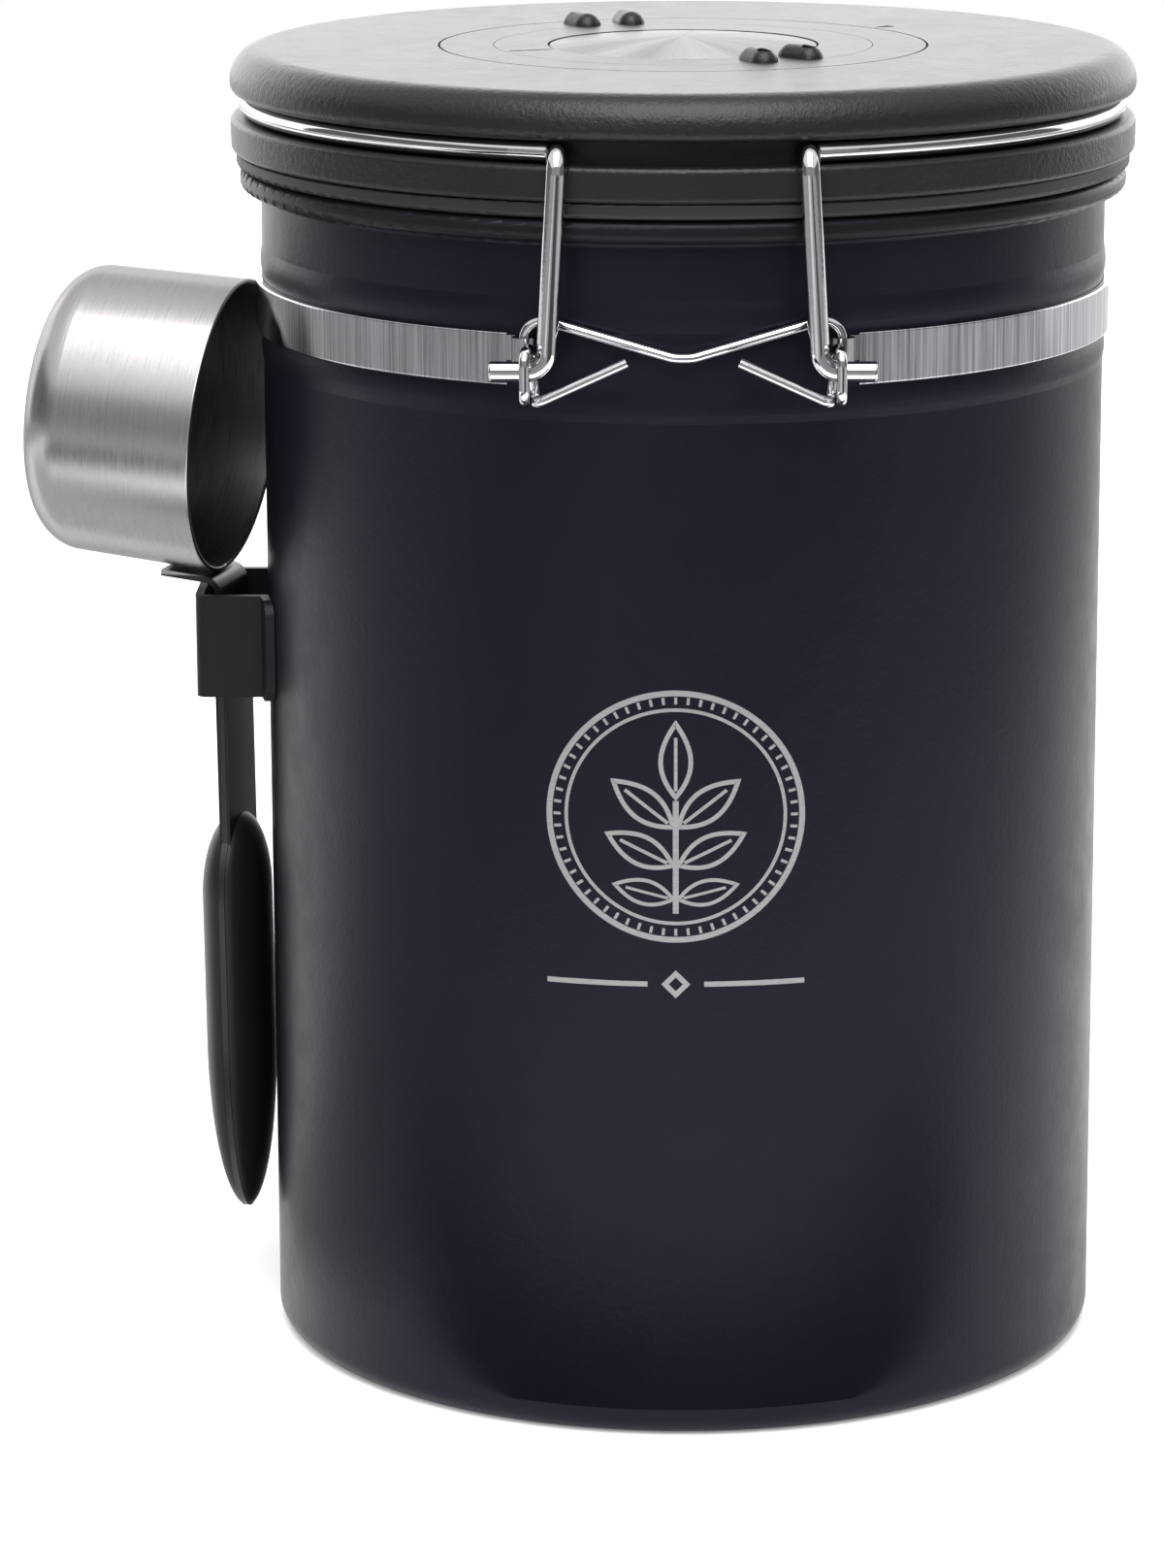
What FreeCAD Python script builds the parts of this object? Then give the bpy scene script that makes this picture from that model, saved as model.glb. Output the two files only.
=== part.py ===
import FreeCAD, Part
import math
import os

# Coffee canister: a steel can whose hinged lid holds a one-way gas valve and two date dials,
# with a wire latch behind it and a scoop hanging in a holder on its left side.
# Sizes are millimetres. The base stands on Z = 0, X is to the right and the hinge faces -Y.

# Allowances
overrun = 6.0             # how far a cutting body passes beyond what it cuts
seat_gap = 0.1            # between pieces that sit on or in each other
turning_gap = 0.3         # round a piece that turns, slides or swings past
same_point = 0.001        # ends nearer than this need no line between them

# Can
can_radius = 60.0
can_height = 170.5
can_wall = 0.6
can_corner = 3.0
base_groove_inset = 8.0   # from the can's side in to the ring pressed up into the base
base_groove_width = 8.0
base_groove_rise = 1.2
base_groove_slope = 2.0
rim_overhang = 2.95
rim_roll = 1.6
rim_bend = 0.8
bead_rise = 0.35          # the two beads that keep the band in place
bead_half = 2.2
bead_gap = 0.3

# Clamp band
band_below_rim = 15.8     # from the rim's top down to the band
band_height = 7.1
band_thickness = 0.9
band_edge = 0.25
band_end_reach = 2.4      # from a curl's axis out to where the full height ends
tongue_height = 3.4
tongue_drop = 0.3         # from the band's top edge to the tongue's

# Hinge: bail legs and pins, and the eye wire round them
bail_wire_radius = 1.4
eye_wire_radius = 0.7
hinge_half = 21.2         # from the middle to the axis of each curl
leg_inset = 3.0           # from a curl's axis in to the foot of the leg
leg_splay = 1.6           # how much nearer the middle the leg's top stands
leg_stand_off = 3.5       # from the can's wall to the legs' axis
leg_root_lift = 0.35      # how far it stands off the groove's circle where it turns out to the leg
leg_root_bend = 1.8
leg_top_bend = 2.4
leg_low_bend = 2.6
pin_rise = 3.0            # above the band's lower edge
pin_reach = 4.6           # from a curl's axis out to the pin's end
pin_end_round = 0.4
eye_top_rise = 2.7        # above the band
eye_top_bend = 2.6
eye_low_drop = 0.8        # below the band
eye_over_pin = 2.9        # height of the eye's upper pass above the pin's axis
eye_front_reach = 2.8     # from the pin's axis to the eye's front pass
eye_turn_inset = 0.2      # the eye's turns, from the curl's axis towards the middle
eye_second_inset = 0.9
eye_exit_inset = 1.65
eye_exit_drop = 0.5       # below the eye's first turn
eye_second_back = 2.5     # from the pin's axis back to the second turn
eye_bend = 1.7
eye_exit_bend = 1.1
vee_rise = 4.5            # above the band's lower edge
vee_stand_off = 1.9
vee_flat = 1.2
vee_bend = 4.0
arm_length = 12.1
arm_end_rise = 4.2        # above the band's lower edge
arm_forward = 0.2         # how far the free arm stands in front of the pin's axis

# Lid
gasket_height = 2.3
gasket_inset = 5.35       # from the rim's outer edge in to the gasket's bore
gasket_overhang = 0.45
gasket_edge = 0.7
flange_overhang = 1.15    # beyond the rim
flange_thickness = 4.8
flange_edge = 0.8
groove_depth = 4.1
groove_width = 3.2
lid_overhang = 0.05       # beyond the flange
lid_height = 6.2          # from the groove up to the top
lid_shoulder = 4.4
lid_lower_edge = 1.4
cover_thickness = 2.0
spigot_inset = 3.0
spigot_wall = 3.0
spigot_rise = 2.2
plug_inset = 10.0         # from the can's wall in to the plug
plug_edge = 1.0
pan_drop = 5.4            # below the flange
pan_wall = 2.0

# Valve
valve_radius = 17.2
valve_wall = 1.8
valve_flange_overhang = 3.0
valve_flange_thickness = 2.3
seat_rise = 8.6           # above the pan's lower face
seat_thickness = 1.6
post_radius = 1.5
post_rise = 3.4
vent_radius = 1.5
vent_circle = 6.4
vent_count = 6
notch_width = 3.0
notch_depth = 0.7
oring_set_out = 1.5       # from the valve's side to the seal's middle
oring_radius = 0.6
disc_radius = 10.5
disc_thickness = 1.2
filter_thickness = 3.0
retainer_plate = 1.4
retainer_wall = 1.4
retainer_rise = 0.6       # from the valve flange's face up to the plate
slot_width = 1.6
slot_pitch = 3.6
slot_reach_share = 0.8    # of the retainer's radius
cap_overhang = 1.7
cap_lift = 0.3            # above the valve
cap_rim = 0.7
cap_dome_rise = 1.2
cap_plug_depth = 2.2
cap_plug_wall = 1.4

# Dials
dial_depth = 2.0          # from the lid's top down to the floor that they turn on
dial_floor_thickness = 1.6
dial_lip = 1.0            # height of the lower ring's lip
dial_lap = 1.5            # how far one ring laps over the next
month_width = 7.9
day_width = 7.6
rib_width = 4.0
rib_rise = 1.7
rib_pitch = 7.3
pit_radius = 1.0
pit_depth = 0.6
month_rib_margin = 0.6    # the part of a ring's width that its ribs leave free
month_rib_offset = 0.15   # from the middle of a ring's width out to the ribs' middle
month_rib_azimuth = 36.0
day_rib_margin = 0.3
day_rib_offset = 0.05
day_rib_azimuth = -158.0

# Nose of the bail wire and latch on the far side
nose_reach = 4.8          # beyond the flange
nose_half = 6.0
nose_splay = 2.2
nose_lift = 0.35          # how far the wire stands off the groove's circle at the nose's root
nose_bend = 2.2
latch_reach = 2.35        # from the bracket's face to the clip's pins
latch_rise = 3.6          # above the band's lower edge
clip_wire_radius = 1.1
clip_pass = 3.2           # how far above the nose the clip's bar closes
clip_corner_inset = 1.4   # the clip's bends, from the line of its tops
clip_waist_outset = 2.7
clip_waist_drop = 14.0
clip_top_reach = 1.7      # beyond the ear
clip_pin_stop = 0.2       # how far a pin's end passes the ear
clip_corner_bend = 2.6
clip_waist_bend = 9.0
clip_top_bend = 1.9
thumb_half = 3.6
thumb_depth = 5.0
thumb_bend = 1.3
bracket_margin = 1.0      # beyond the ears
bracket_thickness = 0.85
bracket_edge = 0.5
ear_radius = 2.1
ear_inner_x = 11.6
ear_length = 3.6
ear_web = 1.6
ear_web_root = 8.1        # how far behind the can's wall the web is started
rivet_radius = 1.1
rivet_head_radius = 2.0
rivet_head = 0.8
rivet_x = 5.0

# Scoop and its holder
scoop_y = 1.0
holder_below_band = 38.4
holder_height = 14.8
holder_half = 10.8
holder_room = 4.5         # from the handle strip out to the sleeve's outer face
holder_sheet = 1.2
holder_bend = 1.6
holder_flange = 5.0
holder_flange_corner = 2.5
scoop_twist = 14.0        # degrees the scoop is turned in its loose sleeve
scoop_lean = 0.6          # degrees its handle leans towards the can
handle_stand_off = 5.5    # from the can's wall to the handle strip
strip_width = 12.4
strip_thickness = 0.9
strip_bend = 2.0
strip_lap = 7.8           # how far the strip runs under the cup
cup_radius = 21.2
cup_taper = 0.6           # how much smaller its closed end is
cup_depth = 26.5
cup_wall = 0.7
cup_corner = 6.0
cup_lip = 0.3
cup_clear = 1.7           # from the holder up to the cup
cup_tilt = 5.6            # degrees the mouth looks down, seen from the handle
cup_stand_off = 4.15      # from the can's wall to the mouth's middle
grip_lap = 3.6            # how far the scales run up into the holder
neck_cover = 0.3          # the scales' thickness on the neck
neck_lap = 12.0           # how far the straight neck runs down the leaf
leaf_below_holder = 19.4
leaf_tip = 14.7           # above the base
leaf_half = 8.8
leaf_shoulder = 12.0      # length of its blunt upper end
leaf_taper = 26.0         # length of its slim lower end
outer_pad = 4.5
inner_pad_clear = 1.9     # from the can's wall to the inner scale, without the lean

# Sizes that follow
rim_top = can_height
rim_radius = can_radius + rim_overhang
base_groove_outer = can_radius - base_groove_inset
base_groove_inner = base_groove_outer - base_groove_width
band_inner = can_radius + seat_gap
band_outer = band_inner + band_thickness
band_high = rim_top - band_below_rim
band_low = band_high - band_height
curl_inner = eye_wire_radius + seat_gap
curl_outer = curl_inner + band_thickness
curl_circle = band_inner + seat_gap + curl_outer
eye_back_y = -math.sqrt(curl_circle ** 2 - hinge_half ** 2)
leg_y = -can_radius - leg_stand_off
leg_low_x = hinge_half - leg_inset
leg_top_x = leg_low_x - leg_splay
pin_z = band_low + pin_rise
pin_end_x = hinge_half + pin_reach
flange_low = rim_top + gasket_height
flange_radius = rim_radius + flange_overhang
groove_low = flange_low + flange_thickness
groove_high = groove_low + groove_width
groove_wire_z = (groove_low + groove_high) / 2
groove_radius = flange_radius - groove_depth
groove_wire_circle = groove_radius + bail_wire_radius + seat_gap / 2
lid_radius = flange_radius + lid_overhang
lid_top = groove_high + lid_height
spigot_radius = groove_radius - spigot_inset
plug_radius = can_radius - plug_inset
pan_low = flange_low - pan_drop
dial_floor = lid_top - dial_depth
dial_step = dial_floor + dial_lip
valve_bore = valve_radius - valve_wall
valve_top = dial_step - seat_gap
seat_low = pan_low + seat_rise
seat_top = seat_low + seat_thickness
oring_circle = valve_radius + oring_set_out
cap_radius = valve_radius + cap_overhang
cap_rim_low = valve_top + cap_lift
cap_rim_top = cap_rim_low + cap_rim
cap_crown = cap_rim_top + cap_dome_rise
month_radius = cap_radius + month_width
dial_radius = month_radius + day_width
bracket_face = band_outer + seat_gap + bracket_thickness
latch_y = bracket_face + latch_reach
latch_z = band_low + latch_rise
clip_reach = groove_wire_z - latch_z + clip_pass
clip_top_x = ear_inner_x + ear_length + clip_top_reach
bracket_half = ear_inner_x + ear_length + bracket_margin
handle_x = can_radius + handle_stand_off
holder_reach = handle_x + holder_room
holder_high = band_low - holder_below_band
holder_low = holder_high - holder_height
cup_end_radius = cup_radius - cup_taper
cup_centre_z = holder_high + cup_clear + cup_radius
cup_set_in = handle_stand_off - cup_stand_off
grip_top = holder_low + grip_lap
leaf_top = holder_low - leaf_below_holder
neck_low = leaf_top - neck_lap
inner_pad = handle_stand_off - inner_pad_clear
origin = FreeCAD.Vector(0, 0, 0)
up = FreeCAD.Vector(0, 0, 1)
right = FreeCAD.Vector(1, 0, 0)
back = FreeCAD.Vector(0, 1, 0)


def vec(x, y, z):
    return FreeCAD.Vector(x, y, z)


def from_front(azimuth, radius, z):
    """Point at an angle in degrees from the front, towards +X."""
    turn = math.radians(azimuth)
    return vec(radius * math.sin(turn), -radius * math.cos(turn), z)


def rounded_run(corners, closed=False):
    """Straight runs through (point, bend radius) corners, joined by tangent arcs."""
    count = len(corners)
    cuts = []
    for number, (point, bend) in enumerate(corners):
        if bend == 0 or (not closed and number in (0, count - 1)):
            cuts.append((point, None, point))
            continue
        before = (corners[number - 1][0] - point).normalize()
        after = (corners[(number + 1) % count][0] - point).normalize()
        half = before.getAngle(after) / 2
        middle = (before + after).normalize()
        tangent = bend / math.tan(half)
        arc_middle = point + middle * (bend / math.sin(half) - bend)
        cuts.append((point + before * tangent, arc_middle, point + after * tangent))
    edges = []
    for number, (start, arc_middle, end) in enumerate(cuts):
        if arc_middle is not None:
            edges.append(Part.Arc(start, arc_middle, end).toShape())
        if number < count - 1 or closed:
            following = cuts[(number + 1) % count][0]
            if end.distanceToPoint(following) > same_point:
                edges.append(Part.LineSegment(end, following).toShape())
    return Part.Wire(edges)


def turned(outline, start=0, sweep=360):
    """Solid of revolution about Z from (radius, height, corner rounding) points.

    A part turn starts at an angle in degrees from the front and goes on towards +X.
    """
    wire = rounded_run([(vec(r, 0, z), bend) for r, z, bend in outline], closed=True)
    shape = Part.Face(wire).revolve(origin, up, sweep)
    shape.rotate(origin, up, start - 90)
    return shape


def ring(inner, outer, low, high):
    return turned([(inner, low, 0), (outer, low, 0), (outer, high, 0), (inner, high, 0)])


def block(x, y, z):
    """Box between two values on each axis."""
    box = Part.makeBox(x[1] - x[0], y[1] - y[0], z[1] - z[0])
    box.translate(vec(x[0], y[0], z[0]))
    return box


def bent_wire(corners, radius):
    """Round wire along straight runs and tangent arcs."""
    path = rounded_run(corners)
    start = corners[0][0]
    section = Part.Wire(Part.Circle(start, corners[1][0] - start, radius).toShape())
    wire = path.makePipeShell([section], True, False)
    wanted = math.pi * radius ** 2 * path.Length
    print("wire length %.1f, volume over section times length %.4f" % (path.Length, wire.Volume / wanted))
    return wire


def both_sides(half):
    """A half on the +X side joined with its mirror image."""
    return half.fuse(half.mirror(origin, right)).removeSplitter()


def mirrored(shape):
    return shape.mirror(origin, right)


def can_body():
    roll_inner = rim_radius - 2 * rim_roll
    rim_low = rim_top - 2 * rim_roll
    low_bead = band_low - bead_gap - bead_half
    high_bead = band_high + bead_gap + bead_half
    bead_round = bead_half ** 2 / bead_rise / 2
    inner = can_radius - can_wall
    groove = [
        (base_groove_inner, 0),
        (base_groove_inner + base_groove_slope, base_groove_rise),
        (base_groove_outer - base_groove_slope, base_groove_rise),
        (base_groove_outer, 0),
    ]
    outline = [(0, 0, 0)]
    outline += [(radius, height, 0) for radius, height in groove]
    outline += [(can_radius, 0, can_corner)]
    for middle in (low_bead, high_bead):
        outline += [
            (can_radius, middle - bead_half, 0),
            (can_radius + bead_rise, middle, bead_round),
            (can_radius, middle + bead_half, 0),
        ]
    outline += [
        (can_radius, rim_low, rim_bend),
        (rim_radius, rim_low, rim_roll - can_wall / 2),
        (rim_radius, rim_top, rim_roll - can_wall / 2),
        (roll_inner, rim_top, rim_roll - can_wall / 2),
        (roll_inner, rim_low + rim_roll - can_wall, can_wall),
        (inner, rim_low - rim_bend, rim_bend),
        (inner, can_wall, can_corner - can_wall),
    ]
    outline += [(radius, height + can_wall, 0) for radius, height in reversed(groove)]
    outline += [(0, can_wall, 0)]
    return turned(outline)


def clamp_band():
    inner, outer = band_inner, band_outer
    end_azimuth = math.degrees(math.asin((hinge_half + band_end_reach) / outer))
    curl_azimuth = math.degrees(math.atan2(hinge_half, -eye_back_y))
    hoop = turned([
        (inner, band_low, 0),
        (outer, band_low, band_edge),
        (outer, band_high, band_edge),
        (inner, band_high, 0),
    ], end_azimuth, 360 - 2 * end_azimuth)
    tongue_high = band_high - tongue_drop
    tongue_low = tongue_high - tongue_height
    tongue = turned([
        (inner, tongue_low, 0),
        (outer, tongue_low, 0),
        (outer, tongue_high, 0),
        (inner, tongue_high, 0),
    ], curl_azimuth, end_azimuth - curl_azimuth)
    curl_foot = vec(hinge_half, eye_back_y, tongue_low)
    curl = Part.makeCylinder(curl_outer, tongue_height, curl_foot)
    bore = Part.makeCylinder(curl_inner, tongue_height + 2 * overrun, curl_foot - up * overrun)
    end = tongue.fuse(curl).cut(bore)
    return hoop.fuse(end).fuse(mirrored(end)).cut(rivet_shanks(seat_gap / 2))


def hinge_eye_wire():
    top_z = band_high + eye_top_rise
    low_z = band_low - eye_low_drop
    exit_z = low_z - eye_exit_drop
    over_z = pin_z + eye_over_pin
    vee_y = -can_radius - vee_stand_off
    vee_z = band_low + vee_rise
    front_y = leg_y - eye_front_reach
    second_y = leg_y + eye_second_back
    arm_y = leg_y - arm_forward
    turn_x = hinge_half - eye_turn_inset
    second_x = hinge_half - eye_second_inset
    exit_x = hinge_half - eye_exit_inset
    corners = [
        (vec(0, vee_y, vee_z), 0),
        (vec(vee_flat, vee_y, vee_z), vee_bend),
        (vec(hinge_half, eye_back_y, top_z), eye_top_bend),
        (vec(hinge_half, eye_back_y, low_z), eye_bend),
        (vec(turn_x, front_y, low_z), eye_bend),
        (vec(turn_x, front_y, over_z), eye_bend),
        (vec(second_x, second_y, over_z), eye_bend),
        (vec(exit_x, second_y, exit_z), eye_exit_bend),
        (vec(exit_x, arm_y, exit_z), eye_exit_bend),
        (vec(exit_x - arm_length, arm_y, band_low + arm_end_rise), 0),
    ]
    return both_sides(bent_wire(corners, eye_wire_radius))


def bail_wire():
    """Half of the wire, from the middle of the nose round the groove to the hinge pin, and its mirror."""
    z = groove_wire_z
    circle = groove_wire_circle
    nose_y = flange_radius + nose_reach
    root_distance = circle + nose_lift
    root_x = nose_half + nose_splay
    root = vec(root_x, math.sqrt(root_distance ** 2 - root_x ** 2), z)
    root_azimuth = math.degrees(math.atan2(root.x, -root.y))
    last_touch = root_azimuth - math.degrees(math.acos(circle / root_distance))
    leg_distance = circle + leg_root_lift
    leg_root = vec(leg_top_x, -math.sqrt(leg_distance ** 2 - leg_top_x ** 2), z)
    leg_azimuth = math.degrees(math.atan2(leg_root.x, -leg_root.y))
    first_touch = leg_azimuth + math.degrees(math.acos(circle / leg_distance))
    half_sweep = math.radians(last_touch - first_touch) / 2
    tangents_meet = from_front((first_touch + last_touch) / 2, circle / math.cos(half_sweep), z)
    corners = [
        (vec(0, nose_y, z), 0),
        (vec(nose_half, nose_y, z), nose_bend),
        (root, nose_bend),
        (tangents_meet, circle),
        (leg_root, leg_root_bend),
        (vec(leg_top_x, leg_y, z), leg_top_bend),
        (vec(leg_low_x, leg_y, pin_z), leg_low_bend),
        (vec(pin_end_x, leg_y, pin_z), 0),
    ]
    half = bent_wire(corners, bail_wire_radius)
    pin_face = [edge for edge in half.Edges if edge.BoundBox.XMin > pin_end_x - pin_end_round]
    return both_sides(half.makeFillet(pin_end_round, pin_face))


def lid_base():
    web_top = groove_low - pan_wall
    spigot_top = groove_high + spigot_rise
    return turned([
        (valve_radius + seat_gap, pan_low, 0),
        (plug_radius, pan_low, plug_edge),
        (plug_radius, flange_low, plug_edge),
        (flange_radius, flange_low, flange_edge),
        (flange_radius, groove_low, flange_edge),
        (groove_radius, groove_low, 0),
        (groove_radius, groove_high, 0),
        (spigot_radius, groove_high, 0),
        (spigot_radius, spigot_top, 0),
        (spigot_radius - spigot_wall, spigot_top, 0),
        (spigot_radius - spigot_wall, web_top, 0),
        (plug_radius - pan_wall, web_top, 0),
        (plug_radius - pan_wall, pan_low + pan_wall, 0),
        (valve_radius + seat_gap, pan_low + pan_wall, 0),
    ])


def lid_cover():
    floor_low = dial_floor - dial_floor_thickness
    opening = dial_radius + turning_gap
    shoulder = min(lid_shoulder, lid_height - lid_lower_edge)
    return turned([
        (valve_radius + seat_gap, floor_low, 0),
        (opening + cover_thickness, floor_low, 0),
        (opening + cover_thickness, lid_top - cover_thickness, 0),
        (spigot_radius + seat_gap, lid_top - cover_thickness, 0),
        (spigot_radius + seat_gap, groove_high, 0),
        (lid_radius, groove_high, lid_lower_edge),
        (lid_radius, lid_top, shoulder),
        (opening, lid_top, 0),
        (opening, dial_floor, 0),
        (valve_radius + seat_gap, dial_floor, 0),
    ])


def lid_gasket():
    inner = rim_radius - gasket_inset
    outer = rim_radius + gasket_overhang
    return turned([
        (inner, rim_top + seat_gap, gasket_edge),
        (outer, rim_top + seat_gap, gasket_edge),
        (outer, flange_low, gasket_edge / 2),
        (inner, flange_low, 0),
    ])


def valve_body():
    flange_top = pan_low - seat_gap / 2
    flange_bottom = flange_top - valve_flange_thickness
    flange_outer = valve_radius + valve_flange_overhang
    post_top = seat_top + post_rise
    body = turned([
        (valve_bore, flange_bottom, 0),
        (flange_outer, flange_bottom, 0),
        (flange_outer, flange_top, 0),
        (valve_radius, flange_top, 0),
        (valve_radius, valve_top, 0),
        (valve_bore, valve_top, 0),
        (valve_bore, seat_top, 0),
        (post_radius, seat_top, 0),
        (post_radius, post_top, 0),
        (0, post_top, 0),
        (0, seat_low, 0),
        (valve_bore, seat_low, 0),
    ])
    half_ring = oring_radius + seat_gap / 2
    groove = ring(oring_circle - half_ring, oring_circle + half_ring, flange_top - 2 * oring_radius,
                  flange_top + seat_gap)
    body = body.cut(groove)
    for number in range(vent_count):
        azimuth = number * 360 / vent_count
        vent = Part.makeCylinder(vent_radius, seat_top - seat_low + 2 * overrun,
                                 from_front(azimuth, vent_circle, seat_low - overrun))
        notch = block((-notch_width / 2, notch_width / 2), (0, valve_radius + overrun),
                      (valve_top - notch_depth, valve_top + overrun))
        notch.rotate(origin, up, azimuth)
        body = body.cut(vent).cut(notch)
    return body


def valve_oring():
    height = pan_low - oring_radius - seat_gap / 2
    return Part.makeTorus(oring_circle, oring_radius, vec(0, 0, height))


def valve_disc():
    low = seat_top + seat_gap / 2
    return ring(post_radius + turning_gap, disc_radius, low, low + disc_thickness)


def valve_filter():
    return Part.makeCylinder(valve_bore - seat_gap, filter_thickness, vec(0, 0, seat_low - filter_thickness))


def valve_retainer():
    low = pan_low - valve_flange_thickness + retainer_rise
    radius = valve_bore - seat_gap
    high = seat_low - filter_thickness
    cup = turned([
        (0, low, 0),
        (radius, low, 0),
        (radius, high, 0),
        (radius - retainer_wall, high, 0),
        (radius - retainer_wall, low + retainer_plate, 0),
        (0, low + retainer_plate, 0),
    ])
    reach = (radius - retainer_wall) * slot_reach_share
    rows = int(reach // slot_pitch)
    for row in range(-rows, rows + 1):
        offset = row * slot_pitch
        half = math.sqrt(reach ** 2 - offset ** 2)
        slot = block((-half, half), (offset - slot_width / 2, offset + slot_width / 2),
                     (low - overrun / 2, low + retainer_plate + seat_gap))
        cup = cup.cut(slot)
    return cup


def centre_cap():
    """Domed disc on a short plug that presses into the valve's bore."""
    plug = valve_bore - seat_gap / 2
    plug_low = cap_rim_low - cap_plug_depth
    rise = cap_crown - cap_rim_top
    dome_radius = (cap_radius ** 2 + rise ** 2) / rise / 2
    rim = turned([
        (0, cap_rim_low, 0),
        (plug - cap_plug_wall, cap_rim_low, 0),
        (plug - cap_plug_wall, plug_low, 0),
        (plug, plug_low, 0),
        (plug, cap_rim_low, 0),
        (cap_radius, cap_rim_low, 0),
        (cap_radius, cap_crown, 0),
        (0, cap_crown, 0),
    ])
    dome = Part.makeSphere(dome_radius, vec(0, 0, cap_crown - dome_radius))
    return rim.common(dome)


def finger_rib(azimuth, circle, straight):
    """Half-round radial rib with round ends and a small pit at its outer end."""
    half = rib_width / 2
    radius = (half ** 2 + rib_rise ** 2) / rib_rise / 2
    height = lid_top + rib_rise - radius
    inner = vec(0, -circle + straight / 2, height)
    outer = vec(0, -circle - straight / 2, height)
    rib = Part.makeCylinder(radius, straight, inner, back * -1)
    rib = rib.fuse(Part.makeSphere(radius, inner)).fuse(Part.makeSphere(radius, outer)).removeSplitter()
    pit = Part.makeCylinder(pit_radius, pit_depth + overrun, outer + up * (radius - pit_depth))
    reach = rib_width + straight
    above = block((-rib_width, rib_width), (-circle - reach, -circle + reach),
                  (lid_top - rib_rise / 4, lid_top + 2 * rib_rise))
    rib = rib.common(above).cut(pit)
    rib.rotate(origin, up, azimuth)
    return rib


def with_ribs(dial, circle, straight, azimuth):
    half_turn = math.degrees(rib_pitch / circle) / 2
    for side in (-1, 1):
        dial = dial.fuse(finger_rib(azimuth + side * half_turn, circle, straight))
    return dial.removeSplitter()


def month_dial():
    low = dial_floor + seat_gap
    bore = valve_radius + turning_gap
    top_inner = cap_radius + turning_gap
    dial = turned([
        (bore, low, 0),
        (month_radius - dial_lap, low, 0),
        (month_radius - dial_lap, dial_step, 0),
        (month_radius, dial_step, 0),
        (month_radius, lid_top, 0),
        (top_inner, lid_top, 0),
        (top_inner, dial_step, 0),
        (bore, dial_step, 0),
    ])
    circle = cap_radius + month_width / 2 + month_rib_offset
    return with_ribs(dial, circle, month_width - rib_width - month_rib_margin, month_rib_azimuth)


def day_dial():
    low = dial_floor + seat_gap
    lip_inner = month_radius - dial_lap + turning_gap
    lip_top = dial_step - 2 * seat_gap
    dial = turned([
        (lip_inner, low, 0),
        (dial_radius, low, 0),
        (dial_radius, lid_top, 0),
        (month_radius + seat_gap, lid_top, 0),
        (month_radius + seat_gap, lip_top, 0),
        (lip_inner, lip_top, 0),
    ])
    circle = month_radius + day_width / 2 + day_rib_offset
    return with_ribs(dial, circle, day_width - rib_width - day_rib_margin, day_rib_azimuth)


def rivet_shanks(allowance):
    """Both rivet shanks, from inside the band out through the bracket."""
    middle = (band_low + band_high) / 2
    length = band_thickness + bracket_thickness + overrun
    shanks = []
    for side in (-1, 1):
        start = vec(side * rivet_x, band_inner - overrun / 2, middle)
        shanks.append(Part.makeCylinder(rivet_radius + allowance, length, start, back))
    return Part.makeCompound(shanks)


def latch_rivets():
    """Two domed rivets, each its own solid."""
    middle = (band_low + band_high) / 2
    plate_face = math.sqrt(bracket_face ** 2 - (rivet_x - rivet_head_radius) ** 2)
    ball = (rivet_head_radius ** 2 + rivet_head ** 2) / rivet_head / 2
    rivets = []
    for side in (-1, 1):
        foot = vec(side * rivet_x, 0, middle)
        shank_start = math.sqrt(band_inner ** 2 - (rivet_x - rivet_radius) ** 2)
        shank = Part.makeCylinder(rivet_radius, plate_face - shank_start, foot + back * shank_start, back)
        dome = Part.makeSphere(ball, foot + back * (plate_face + rivet_head - ball))
        head = Part.makeCylinder(rivet_head_radius, rivet_head, foot + back * plate_face, back).common(dome)
        rivets.append(shank.fuse(head).removeSplitter())
    return Part.makeCompound(rivets)


def latch_bracket():
    """Curved plate on the band with two ears for the clip's pins."""
    inner = band_outer + seat_gap
    outer = bracket_face
    heights = (band_low - overrun, band_high + overrun)
    plate = turned([
        (inner, band_low, 0),
        (outer, band_low, bracket_edge),
        (outer, band_high, bracket_edge),
        (inner, band_high, 0),
    ])
    span = block((-bracket_half, bracket_half), (0, outer + overrun), heights)
    plate = plate.common(span)
    for start in (ear_inner_x, -ear_inner_x - ear_length):
        foot = vec(start, latch_y, latch_z)
        ear = Part.makeCylinder(ear_radius, ear_length, foot, right)
        web = block((start, start + ear_length), (can_radius - ear_web_root, latch_y),
                    (latch_z - ear_web / 2, latch_z + ear_web / 2))
        plate = plate.fuse(ear).fuse(web)
    for start in (ear_inner_x, -ear_inner_x - ear_length):
        bore = Part.makeCylinder(clip_wire_radius + seat_gap, ear_length + 2 * overrun,
                                 vec(start - overrun, latch_y, latch_z), right)
        reach = block((start - seat_gap, start + ear_length + seat_gap), (0, latch_y + overrun), heights)
        plate = plate.cut(bore.common(reach))
    plate = plate.removeSplitter()
    core = Part.makeCylinder(inner, band_high + overrun)
    return plate.cut(core).cut(rivet_shanks(seat_gap / 2))


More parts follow.
